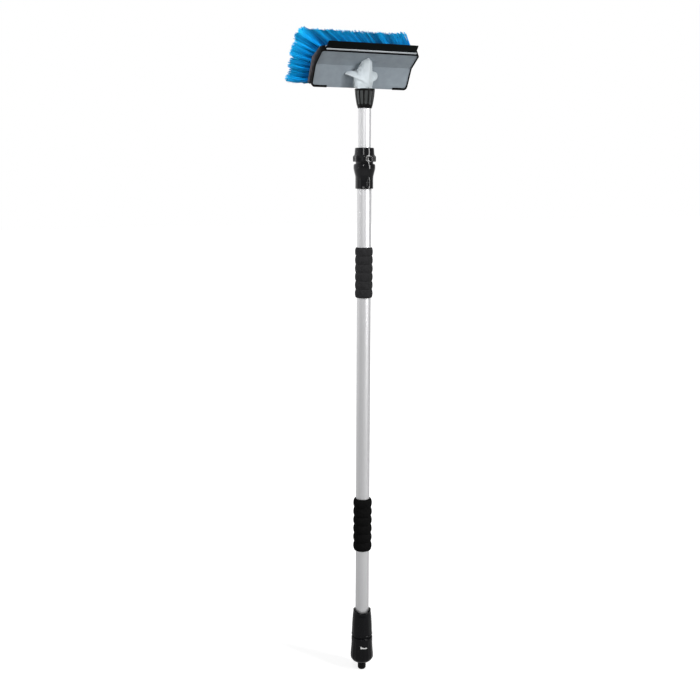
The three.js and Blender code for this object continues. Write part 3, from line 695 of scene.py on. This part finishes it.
def tuft_places(flat, side):
    """Each tuft of a strip, one flat of the head on one side of its middle, as (row, share up, s, x).

    The board's face opens at the crease, so its two flats are longer there than the back plate's.
    """
    inset, opening = TUFT_INSET, BOARD_FACE * math.tan(HALF_BEND)
    lengths = HEAD["lower"] + opening, HEAD["upper"] + opening
    if flat == "lower":
        low, high, below, first_row = inset["foot"], lengths[0] - inset["crease"], 0, 0
    else:
        low, high = HEAD["lower"] - opening + inset["crease"], HEAD_HEIGHT - inset["top"]
        below, first_row = 2 * opening, BRISTLE_ROWS["lower"]
    first, last = inset["middle"], HEAD["half"] - inset["end"]
    rows = BRISTLE_ROWS[flat]
    for row in range(rows):
        s = low + (high - low) * (row + 0.5) / rows
        stagger = inset["stagger"] if row % 2 else -inset["stagger"]
        for column in range(BRISTLE_COLUMNS):
            place = (column + 0.5 + side * stagger) / BRISTLE_COLUMNS
            x = side * (first + (last - first) * place)
            yield first_row + row, (s + below) / sum(lengths), s, x


def tuft_strands(chance, shape, axes, root, tuft_length, tuft_turn):
    """The bristles of a tuft in a round, from its middle out: each one's points and its reach from the middle."""
    direction, across, upward = axes
    per_tuft, stray = BRISTLE["per_tuft"], CHANCE
    up_strand = shape[:, 2:3]
    for number in range(per_tuft):
        reach = math.sqrt((number + 0.5) / per_tuft)
        angle = number * GOLDEN_TURN + chance.uniform(-stray["turn"], stray["turn"])
        spread = np.array([math.cos(angle), math.sin(angle)]) * reach
        start = root + (across * spread[0] + upward * spread[1]) * BRISTLE["tuft_root"]
        dome = BRISTLE["middle"] - BRISTLE["dome"] * reach ** 2
        length = tuft_length * dome + chance.normal(0, stray["length"])
        splay = spread * BRISTLE["tuft_tip"] / length + tuft_turn + chance.normal(0, stray["lean"], 2)
        heading = direction + across * splay[0] + upward * splay[1]
        heading /= np.linalg.norm(heading)
        bend = across * chance.normal(0, stray["bend"]) + upward * chance.normal(-stray["sag"], stray["bend"])
        turn = chance.uniform(0, TURN)
        u = across * math.cos(turn) + upward * math.sin(turn)
        v = np.cross(heading, u)
        thickness = (u * shape[:, 0:1] + v * shape[:, 1:2]) * BRISTLE["root"]
        yield start + heading * up_strand * length + bend * up_strand ** 2 + thickness, reach


def bristle_strip(name, strand, flat, side, seed):
    """All the tufts of a strip as one piece, made of copies of the strand."""
    chance = np.random.default_rng(seed)
    shape = np.array([vertex.co for vertex in strand.data.vertices])
    faces = np.array([list(face.vertices) for face in strand.data.polygons])
    points, along, tone_and_painted_shade = [], [], []
    for row, up, s, x in tuft_places(flat, side):
        direction = np.array(bristle_direction(up, x))
        across = np.cross(direction, (0.0, 0.0, 1.0))
        across /= np.linalg.norm(across)
        upward = np.cross(across, direction)
        depth = face_depth(flat, s)
        root = np.array(flat_point(flat, s, depth - BRISTLE["sunk"], x))
        stray = chance.uniform(-CHANCE["tuft_length"], CHANCE["tuft_length"])
        length = BRISTLE["length"] + BOARD_FACE - depth + stray
        turn = chance.normal(0, CHANCE["tuft_lean"], 2) + (0, CLUMPED_ROWS.get(row, 0))
        tuft_shade = chance.uniform()
        for place, reach in tuft_strands(chance, shape, (direction, across, upward), root, length, turn):
            points.append(place)
            along.append(shape[:, 2])
            # Bristles at a tuft's rim are painted darker, as painted shade between the tufts.
            own, middle = TONE_AND_PAINTED_SHADE["own"] * chance.uniform(), TONE_AND_PAINTED_SHADE["middle"] * (1 - reach ** 3)
            tone_and_painted_shade.append(np.full(len(shape), TONE_AND_PAINTED_SHADE["tuft"] * tuft_shade + own + middle))
    offsets = np.arange(len(points))[:, None, None] * len(shape)
    all_faces = (faces[None] + offsets).reshape(-1, faces.shape[1])
    mesh = bpy.data.meshes.new(name)
    mesh.from_pydata((np.concatenate(points) * MM).tolist(), [], all_faces.tolist())
    for label, values in (("along", along), ("tone_and_painted_shade", tone_and_painted_shade)):
        keep_at_points(mesh, label, np.concatenate(values).astype(np.float32))
    mesh.shade_smooth()
    piece = bpy.data.objects.new(name, mesh)
    bpy.context.scene.collection.objects.link(piece)
    return piece


# ------------ socket

SOCKET_BASE = 787.5
SOCKET_BLANK = 13.4
SOCKET_STEPS = 72
SOCKET_GAP = 0.02
SOCKET_ANGLES = (0, 10, 25, 35, 50, 60, 67, 75, 85, 95, 103, 112, 130, 150, 180)
# Up the socket, level by level: its radii at those angles from the front ridge, and its heights there
# above its base. They are the base, the undercut below the lip, the lip, the hollow behind it, the boss
# with its side ribs, and a place inside the head.
SOCKET_LEVELS = (
    ((15.6, 14.2, 13.5, 13.4, 13.4, 13.4, 13.4, 13.4, 13.4, 13.5, 13.8, 14.5, 17.5, 26.8, 23.2),
     (0,) * 15),
    ((16.2, 14.2, 13.4, 13.4, 13.4, 13.4, 13.4, 13.4, 13.6, 14.5, 17, 18, 19, 26.8, 23.2),
     (2.2, 4.8, 8, 9.4, 11.3, 12.2, 13, 13.8, 16, 19, 21.4, 22.4, 22.6, 22.6, 22.6)),
    ((16.8, 15.4, 14.8, 15.2, 16.2, 16.8, 17.4, 18.4, 22.4, 28.4, 34.4, 32.8, 22, 26.8, 23.2),
     (4, 5.8, 9.1, 10.4, 12.3, 13.3, 14.2, 15, 17.2, 20.2, 22.2, 23.2, 23.8, 24, 24)),
    ((17.4, 16, 15.3, 15.8, 17, 17.6, 18.2, 19.4, 23.4, 29.6, 36, 34, 23, 26.8, 23.2),
     (7, 8, 11.3, 12.8, 14.8, 15.8, 16.8, 17.8, 20, 23.2, 25.2, 25.8, 25.8, 26, 26)),
    ((18, 16.3, 15.1, 15, 15.4, 15.4, 15.6, 16, 18, 25.5, 34.2, 32, 22, 24, 22),
     (10, 11, 14, 15.4, 17.2, 18.4, 19.6, 20.8, 23, 26.4, 28.6, 28.8, 27.8, 28, 28)),
    ((18.5, 16.5, 15, 14.5, 13.6, 13.4, 13.2, 13.4, 14, 17, 23, 23, 20, 22, 20),
     (15, 16, 18, 19, 21, 22, 23, 24, 25.5, 28, 29.6, 29.8, 29, 29.4, 29.4)),
    ((18.7, 16.6, 15, 14, 12.6, 12.4, 12.4, 12.6, 12.8, 13.6, 15, 15.5, 17, 19, 18),
     (25.5, 25.5, 25.5, 25.5, 25.5, 25.5, 26, 26.5, 27.5, 29.2, 30.4, 30.8, 30.4, 30.8, 30.8)),
    ((18.7, 16.6, 15, 14.4, 12, 12, 13, 13.6, 12.6, 12.6, 13, 13.4, 15, 17, 16),
     (29.5, 29.5, 29.5, 29.5, 29.5, 29.5, 29.7, 29.7, 30, 30.5, 31.4, 32, 32, 32.4, 32.4)),
    ((18.7, 16.6, 15, 14.8, 11.6, 12, 14, 15, 13, 12.3, 12.4, 12.8, 13.6, 15, 14),
     (33.3, 33.3, 33.3, 33.3, 33.3, 33.3, 33.3, 33.3, 33.3, 33.3, 33.3, 34, 34.4, 34.6, 34.6)),
    ((18.6, 16.6, 15, 14.7, 11.6, 11.4, 11.6, 11.8, 10.8, 10.4, 10.6, 11, 12, 13, 12),
     (37, 37, 37, 37, 38, 37.5, 37.2, 37.1, 37.1, 37.1, 37.1, 37.1, 37.1, 37.1, 37.1)),
    ((18.4, 16.4, 14.9, 14.5, 14.4, 11.8, 10, 9.5, 8.4, 8, 8.2, 8.5, 9.5, 11, 11),
     (48, 47.3, 46.2, 45.2, 44, 43, 42.5, 42.5, 42.5, 42.5, 42.5, 42.5, 42.5, 42.5, 42.5)),
    ((13.5, 12, 11, 10.5, 10, 9.5, 9, 8.6, 8, 8, 8.2, 8.5, 9.5, 11, 11),
     (50, 49, 48, 47, 46, 45, 44.5, 44.5, 44.5, 44.5, 44.5, 44.5, 44.5, 44.5, 44.5)),
    ((13, 12, 11, 10.5, 10, 9.5, 9, 8.6, 8, 8, 8.2, 8.5, 9.5, 11, 11),
     (64,) * 15),
)
RIGHT_WING = {"past": 23, "share": 0.4, "lower": 1.5, "rib": 13}


def socket_section(turn, level):
    """A point of the socket's outline, as (radius, height), at an angle from its front ridge.

    The right wing stands out less than the left one and hangs lower, and has the smaller rib.
    """
    wing = RIGHT_WING
    radius, height = (float(np.interp(min(turn, 360 - turn), SOCKET_ANGLES, row)) for row in SOCKET_LEVELS[level])
    if 0 < turn < 180:
        radius -= max(0.0, radius - wing["past"]) * (1 - wing["share"]) * (1 - eased(turn, 112, 140))
        if 2 <= level <= 3:
            height -= wing["lower"] * eased(turn, 50, 70)
        if level >= 7 and turn > 60:
            radius = min(radius, wing["rib"])
    return radius, height


def handle_socket():
    """The webbed socket: a ridged boss between side ribs, on a foot that sweeps out into two lipped wings."""
    rings = [SOCKET_BASE + level for level in range(len(SOCKET_LEVELS))]
    blank = [(0, rings[0]), *((SOCKET_BLANK, z) for z in rings), (0, rings[-1])]
    socket = spun("handle_socket", blank, SOCKET_STEPS)
    edit(socket)
    for level, z in reversed(list(enumerate(rings))):
        for column in range(SOCKET_STEPS):
            turn = 360 * column / SOCKET_STEPS
            radius, height = socket_section(turn, level)
            here, there = at_angle(SOCKET_BLANK, turn, z), at_angle(radius, turn, SOCKET_BASE + height)
            pick(socket, "VERT", lambda m: (m - here).length < 0.01)
            bpy.ops.transform.translate(value=(there - here) * MM)
    leave_edit()
    apply_modifier(socket, "SUBSURF", levels=2, render_levels=2)
    under = [Vector((0, y, SOCKET_BASE + rise)) for y, rise in
             ((-40, 0), (0, 0), (22.4, 2.6), (60, 2.6), (60, -20), (-40, -20))]
    combine(socket, "DIFFERENCE", run_along_head("under", under, 60))
    stub = spun("stub", [(0, 776), (12.2, 776), (13, 776.8), (13, 790), (0, 790)], 64)
    combine(socket, "UNION", stub)
    below, above = -40, HEAD_HEIGHT + 30
    beyond = [head_point(below, -SOCKET_GAP), crease_point(-SOCKET_GAP), head_point(above, -SOCKET_GAP),
              head_point(above, 90), head_point(below, 90)]
    bore = spun("bore", [(0, 770), (7, 770), (7, 870), (0, 870)], 48)
    combine(socket, "DIFFERENCE", run_along_head("beyond", beyond, 60), bore)
    return smooth(socket, 40)


# ------------ turned pieces

SCOOP = {"depth": 4.2, "from": -175, "turn": -0.055}
NUT_FLANK = (755.5, 760.5, 766.5, 774.5, 782.2, 786.2), (12.5, 13.9, 15.2, 16.4, 17.25, 17.6)
GRIP_LOBES = 6


def tube(name, sizes, node):
    """A drawn tube with softened ends."""
    low, high = (corner.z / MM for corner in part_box(node))
    radius, bore = sizes["radius"], sizes["radius"] - sizes["wall"]
    return spun(name, [(bore, low, 0.3), (radius, low, 0.3), (radius, high, 0.3), (bore, high, 0.3)])


def union_nut():
    """The fluted nut that holds the head: twelve hollows, rounded at their feet, between ribs, marked so that its
    material paints them lighter as painted sheen.
    """
    flank = flank_rings(*NUT_FLANK, [757.6 + 1.2 * i for i in range(23)])
    nut = spun("union_nut", [
        (11.4, 754.5), (11.9, 754.5), (12.5, 755.3, 0.4), *flank, (17.6, 786.2), (17.3, 786.9), (16.8, 787.2),
        (13.4, 787.2), (13.4, 768.7), (11.4, 768.7),
    ])

    def hollow(share, z):
        width = 0.80 * math.sqrt(eased(z, 757.5, 764.5))
        reach = share / max(width, 0.01)
        return 1.25 * eased(z, 757.5, 763) * max(0.0, 1 - reach ** 4) * (1 - 0.85 * eased(z, 782.5, 785))

    press(nut, 12, flank, hollow, turn=0.5)
    # How deeply each point is pressed in, so that the material paints the flutes lighter as painted sheen.
    painted_flute_sheen = []
    for vertex in nut.data.vertices:
        point = vertex.co / MM
        pressed = float(np.interp(point.z, *NUT_FLANK)) - math.hypot(point.x, point.y)
        painted_flute_sheen.append(eased(pressed, 0.35, 1.1) * (757.6 < point.z < 786))
    keep_at_points(nut.data, "hollow", painted_flute_sheen)
    return nut


def clamp_nut():
    """The upper half of the twist lock: a lobed band under a smooth neck."""
    band = [(20.2, z) for z in (664.8, 665.8, 667.2, 668.6, 670.0, 671.2, 672.2)]
    nut = spun("clamp_nut", [
        (15.8, 663.5), (19.4, 663.5), (19.9, 663.9), *band, (19.6, 673.2), (18.7, 674.2), (17.7, 675.6, 0.6),
        (17.25, 678.5), (17.1, 681), (16.8, 684.4), (16.6, 686.6, 0.5), (15.9, 687.5, 0.4),
        (11.4, 687.5, 0.3), (11.4, 681.5), (13.2, 678.5), (15.8, 677.5),
    ])

    def hollow(share, z):
        ends = eased(z, 663.8, 666) * (1 - eased(z, 671, 673))
        return 1.9 * (0.35 + 0.65 * ends) * max(0.0, 1 - (share / 0.75) ** 2)

    return press(nut, 8, [(19.9, 663.9), *band, (19.6, 673.2), (18.7, 674.2)], hollow)


def clamp_body():
    """The lower half of the twist lock: a smooth shoulder over a skirt with shallow flutes."""
    skirt = [(15.8, z) for z in (618.4, 619.6, 622, 625, 628, 631, 634, 636.5)]
    body = spun("clamp_body", [
        (12.8, 617), (15.2, 617), (15.6, 617.3), *skirt, (16.0, 639), (16.7, 641.6), (17.5, 644.8),
        (18.3, 648), (18.85, 650.2, 0.8), (19.1, 652.6), (19.1, 656.6), (18.8, 658.4, 0.6), (17.6, 659.9, 0.5),
        (15.5, 659.9), (15.5, 676.5, 0.4), (13, 676.5, 0.3), (13, 658.5), (11.4, 658.5), (11.4, 653.5),
        (12.8, 653.5),
    ])

    def hollow(share, z):
        return 0.5 * eased(z, 618, 620.5) * (1 - eased(z, 633.5, 637)) * max(0.0, 1 - (share / 0.85) ** 2)

    return press(body, 12, skirt, hollow)


def grip(name, node, lobe, valley, short):
    """A foam grip, shorter than its node at each end: round lobes one after another, with narrow valleys."""
    low, high = (corner.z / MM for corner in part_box(node))
    low, high = low + short, high - short
    length = high - low
    steps = GRIP_LOBES * 12
    bore = OUTER_TUBE["radius"] + 0.05
    outline = [(bore, low), (valley - 1.2, low, 0.5)]
    for step in range(steps + 1):
        wave = abs(math.sin(math.pi * GRIP_LOBES * step / steps)) ** 0.7
        outline.append((valley + (lobe - valley) * wave, low + length * (0.006 + 0.988 * step / steps)))
    outline += [(valley - 1.2, high, 0.5), (bore, high)]
    return spun(name, outline)


def hose_end_body():
    """The tapered housing on the pole's foot, with faint facets, a ring at its seam and a scooped rim."""
    flank = flank_rings((-212, -200, -187, -174.4), (19.3, 19.0, 18.3, 16.9),
                        (-215.6, -213, -210, -206, -202, -198, -193.5, -189, -184.5, -180))
    body = spun("hose_end_body", [
        (8.7, -221), (17.4, -221), (17.4, -219), (18.9, -219, 0.3), (19.8, -218.3, 0.5), (19.8, -217.2, 0.5),
        (19.3, -216.4, 0.3), *flank, (16.7, -173.6), (16.4, -172.2, 0.3), (16.6, -171.2, 0.4), (16.6, -169.2, 0.6),
        (15.8, -168, 0.6), (14.4, -168, 0.5), (12.8, -170.2), (12.8, -199.6), (8.7, -199.6),
    ])

    def facet(share, z):
        return 0.4 * eased(z, -216, -210) * (1 - eased(z, -186, -178)) * (1 - share ** 2)

    press(body, 12, flank, facet)
    edit(body)
    for column in range(ROUND_STEPS):
        scoop = SCOOP["depth"] / 2 * (1 + math.cos(2 * TURN * (column / ROUND_STEPS - SCOOP["turn"])))

        def on_rim(middle):
            off = (around(middle) * ROUND_STEPS - column + 0.5) % ROUND_STEPS
            return middle.z > SCOOP["from"] and off < 1

        pick(body, "VERT", on_rim)
        bpy.ops.transform.translate(value=(0, 0, -scoop * MM))
    leave_edit()
    return smooth(body, 45)


def valve_sleeve():
    """The turning sleeve with ribs, bellied out at its foot and stepped in below the seam."""
    flank = flank_rings((-268, -266, -262, -256.8, -240, -228), (19.4, 20.9, 21.7, 21.5, 20.1, 19.9),
                        (-268, -266, -264, -262, -258, -254, -250, -246, -242, -238, -234, -231, -228.5))
    sleeve = spun("valve_sleeve", [
        (8.85, -274.5), (10.6, -274.5, 0.5), (14, -272.9, 1.5), (17.6, -270.2), *flank, (19.8, -224.0, 0.6),
        (18.6, -222.9, 0.3), (17.4, -222.9), (17.4, -221.6), (8.85, -221.6),
    ])

    def rib(share, z):
        return 0.6 * eased(z, -269, -265) * (1 - eased(z, -232, -228)) * max(0.0, 1 - (share / 0.8) ** 2)

    return press(sleeve, 16, flank, rib)


def hose_nipple():
    """The plug-in nipple: a collar, a neck and a groove for its seal."""
    return spun("hose_nipple", [
        (3.1, -289.5, 0.3), (5.5, -289.5), (7.0, -288.3, 0.5), (7.7, -286.5, 0.5), (7.7, -283.5, 0.2),
        (6.0, -283.5), (6.0, -281.3), (7.7, -281.3, 0.2), (7.7, -278.5, 0.4), (6.7, -277.8, 0.3), (6.7, -276.1),
        (9.6, -276.1, 0.3), (9.6, -274.9, 0.3), (3.9, -274.9), (3.9, -260.9), (3.1, -260.9),
    ])


def o_ring(name, radius, section, z):
    deselect()
    bpy.ops.mesh.primitive_torus_add(major_radius=radius * MM, minor_radius=section * MM, major_segments=64,
                                     minor_segments=12, location=(0, 0, z * MM))
    ring = bpy.context.object
    ring.name = ring.data.name = name
    bpy.ops.object.transform_apply(location=True)
    return smooth(ring, 60)


# ------------ the camera and the light

CAMERA = {"yaw": -24.55, "aim": 0.78, "pitch": 10.14, "roll": 0.17, "distance": 1779.5, "height": 647.3}
FOCAL_PIXELS, PICTURE_PIXELS, SENSOR = 1000, 700, 36
ROOM = {"light": 0.25, "front": 0.28, "backdrop": (-0.35, 0.94, 0)}


def place_camera():
    """The camera that took the photo, as fitted to the head's corners and the pole."""
    yaw, pitch, roll = (math.radians(CAMERA[key]) for key in ("yaw", "pitch", "roll"))
    heading = yaw + math.radians(CAMERA["aim"])
    right = Vector((math.cos(heading), math.sin(heading), 0))
    level = Vector((-math.sin(heading), math.cos(heading), 0))
    forward = level * math.cos(pitch) - Vector((0, 0, math.sin(pitch)))
    up = right.cross(forward)
    turned_right = right * math.cos(roll) + up * math.sin(roll)
    turned_up = up * math.cos(roll) - right * math.sin(roll)
    camera = bpy.data.objects.new("camera", bpy.data.cameras.new("camera"))
    bpy.context.scene.collection.objects.link(camera)
    axes = Matrix((turned_right, turned_up, -forward)).transposed().to_4x4()
    place = Vector((math.sin(yaw), -math.cos(yaw), 0)) * CAMERA["distance"]
    place.z = CAMERA["height"]
    camera.matrix_world = Matrix.Translation(place * MM) @ axes
    camera.data.sensor_width = SENSOR
    camera.data.lens = FOCAL_PIXELS / PICTURE_PIXELS * SENSOR
    bpy.context.scene.camera = camera


def seen_or_mirrored(tree):
    """1 for what the camera sees straight, mirrored or through glass, and 0 for light on the object."""
    path = add_node(tree, "LightPath").outputs
    straight_or_mirrored = compute(tree, "MAXIMUM", path["Is Camera Ray"], path["Is Glossy Ray"])
    return compute(tree, "MAXIMUM", straight_or_mirrored, path["Is Transmission Ray"])


def room_glow(tree, place, front, back):
    """What the camera sees of the room is white, and what gloss mirrors dims towards the room's open front."""
    behind = add_node(tree, "VectorMath", place, ROOM["backdrop"], settings={"operation": "DOT_PRODUCT"})
    mirrored = ranged(tree, behind.outputs["Value"], front, back, ROOM["front"], 1.0)
    straight = add_node(tree, "LightPath").outputs["Is Camera Ray"]
    return compute(tree, "MULTIPLY", compute(tree, "MAXIMUM", straight, mirrored), seen_or_mirrored(tree))


def light_room():
    """A white room: gloss shows its white backdrop, and less of its open front."""
    world = bpy.data.worlds.new("room")
    bpy.context.scene.world = world
    world.use_nodes = True
    tree = world.node_tree
    background = tree.nodes["Background"]
    background.inputs["Color"].default_value = (1, 1, 1, 1)
    way = add_node(tree, "TexCoord").outputs["Generated"]
    shown = room_glow(tree, way, -0.2, 0.8)
    tree.links.new(compute(tree, "MAXIMUM", shown, ROOM["light"]), background.inputs["Strength"])


def soft_box(name, direction, distance, size, power, aim, mirrored=True, spread=180):
    """A lamp panel that faces a height on the pole, from an angle round it and an angle up, in degrees."""
    elevation = math.radians(direction[1])
    away = at_angle(math.cos(elevation), direction[0], math.sin(elevation))
    lamp = bpy.data.lights.new(name, "AREA")
    lamp.shape = "RECTANGLE"
    lamp.size, lamp.size_y = size
    lamp.energy = power
    lamp.spread = math.radians(spread)
    holder = bpy.data.objects.new(name, lamp)
    bpy.context.scene.collection.objects.link(holder)
    holder.location = Vector((0, 0, aim)) + away * distance
    holder.rotation_euler = (-away).to_track_quat("-Z", "Y").to_euler()
    holder.visible_glossy = mirrored


def lay_floor():
    """A pale floor that is white to the camera, and keeps the shadow near the broom's foot."""
    deselect()
    bpy.ops.mesh.primitive_plane_add(size=30, location=(0, 0, cad_box[0].z - 0.0005))
    floor = bpy.context.object
    floor.name = "floor"
    material, tree = finish("pale floor", shine=0, Roughness=0.9, Base_Color=(0.55, 0.55, 0.55, 1),
                            Emission_Color=(1, 1, 1, 1))
    distance = add_node(tree, "VectorMath", own_place(tree), settings={"operation": "LENGTH"})
    far = ranged(tree, distance.outputs["Value"], 0.15, 0.5, 0.75, 1.0)
    glow = compute(tree, "MULTIPLY", far, room_glow(tree, own_place(tree), 0.0, 5.0))
    tree.links.new(glow, tree.nodes["Principled BSDF"].inputs["Emission Strength"])
    floor.data.materials.append(material)


# ------------ putting it together

def refinish(piece, material):
    piece.data.materials.clear()
    piece.data.materials.append(material)


def fit(piece, material, body, node):
    """Gives a piece its finish, the body that carries it and the node that it stands for."""
    refinish(piece, material)
    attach(piece, body)
    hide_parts(node)
    return piece


place_camera()
light_room()
soft_box("key", (34, 20), 1.6, (0.2, 1.8), 27, aim=0.67)
soft_box("fill", (-34, 26), 1.8, (0.35, 1.5), 12, aim=0.85)
soft_box("side", (-92, 0), 1.5, (0.4, 0.6), 5, aim=1.0, mirrored=False, spread=70)
soft_box("back", (165, 45), 2.6, (1.6, 1.6), 4, aim=0.6)
lay_floor()

PANEL_GREY = moulded("panel grey", (0.262, 0.302, 0.337), 0.42, shine=0.25)
SOCKET_GREY = moulded("socket grey", (0.45, 0.495, 0.52), 0.34)
RAIL_GREY = moulded("rail grey", (0.36, 0.39, 0.41), 0.35)
BOARD_GREY = moulded("board grey", (0.03, 0.034, 0.038), 0.55)
SATIN_BLACK = moulded("satin black", (0.004, 0.004, 0.005), 0.22, grain=0.01, shine=0.15)
# The lighter colour given for the hollows is painted sheen.
FLUTED_BLACK = moulded("fluted black", (0.004, 0.004, 0.004), 0.22, grain=0.01, painted_hollow_sheen=(0.045, 0.048, 0.048),
                       shine=0.12)
GLOSS_BLACK = moulded("gloss black", (0.002, 0.002, 0.003), 0.13, grain=0.002, shine=0.38)
BUMPER_RUBBER = bumper_rubber()
BLADE_RUBBER = soft_rubber("blade rubber", (0.002, 0.003, 0.003), 0.5, streaks=(0.2, 1, 1), shine=0.05)
SEAL_RUBBER = soft_rubber("seal rubber", (0.006, 0.006, 0.006), 0.5)
INNER_WHITE = moulded("inner white", (0.68, 0.68, 0.65), 0.45)
MARK_WHITE = moulded("mark white", (0.82, 0.82, 0.81), 0.4, mottle=0.03)
ALUMINIUM = drawn_aluminium()
UPPER_FOAM = foam("upper grip foam", (0.020, 0.020, 0.021), 0.12)
LOWER_FOAM = foam("lower grip foam", (0.006, 0.006, 0.006), 0.03)
FILAMENT = filament()

fit(tube("outer_pole_tube", OUTER_TUBE, "outer_tube"), ALUMINIUM, "outer_pole", "outer_tube")
fit(tube("inner_pole_tube", INNER_TUBE, "inner_tube"), ALUMINIUM, "inner_pole", "inner_tube")
upper_foam = grip("upper_foam", "upper_grip", 15.9, 14.4, 0)
lower_foam = grip("lower_foam", "lower_grip", 17.4, 15.2, 2.2)
fit(upper_foam, UPPER_FOAM, "outer_pole", "upper_grip")
fit(lower_foam, LOWER_FOAM, "outer_pole", "lower_grip")

fit(clamp_nut(), GLOSS_BLACK, "clamp_nut", "clamp_nut")
fit(clamp_body(), GLOSS_BLACK, "outer_pole", "clamp_body")
fit(union_nut(), FLUTED_BLACK, "union_nut", "union_nut")
fit(hose_end_body(), SATIN_BLACK, "outer_pole", "hose_end_body")
fit(valve_sleeve(), SATIN_BLACK, "valve_sleeve", "valve_sleeve")
fit(hose_nipple(), SATIN_BLACK, "outer_pole", "hose_nipple")
fit(o_ring("nipple_o_ring", 7.05, 0.8, -282.4), SEAL_RUBBER, "outer_pole", "nipple_seal")

fit(back_plate(), PANEL_GREY, "head", "head_back_plate")
fit(tuft_board(), BOARD_GREY, "head", "tuft_board")
fit(bumper(), BUMPER_RUBBER, "head", "bumper")
fit(squeegee_rail(), RAIL_GREY, "head", "squeegee_rail")
fit(squeegee_blade(), BLADE_RUBBER, "head", "squeegee_blade")
fit(handle_socket(), SOCKET_GREY, "head", "handle_socket")

strand = model_strand()
STRIPS = ("lower", -1, "left"), ("lower", 1, "right"), ("upper", -1, "left"), ("upper", 1, "right")
for seed, (flat, side, word) in enumerate(STRIPS):
    tufts = bristle_strip(f"{flat}_tufts_{word}", strand, flat, side, seed)
    fit(tufts, FILAMENT, "head", f"{flat}_bristles_{word}")
bpy.data.objects.remove(strand)

# Nodes that keep their shape.
KEPT = {
    "flow_mark": MARK_WHITE, "tube_end_fitting": INNER_WHITE, "slide_plug": INNER_WHITE,
    "clamp_collet": INNER_WHITE, "valve_core": INNER_WHITE, "socket_washer": SEAL_RUBBER,
    "tube_end_washer": SEAL_RUBBER, "slide_seal_1": SEAL_RUBBER, "slide_seal_2": SEAL_RUBBER,
    "valve_seal_1": SEAL_RUBBER, "valve_seal_2": SEAL_RUBBER,
}
for node, material in KEPT.items():
    refinish(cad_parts[node], material)

bpy.context.scene.view_settings.view_transform = "Standard"
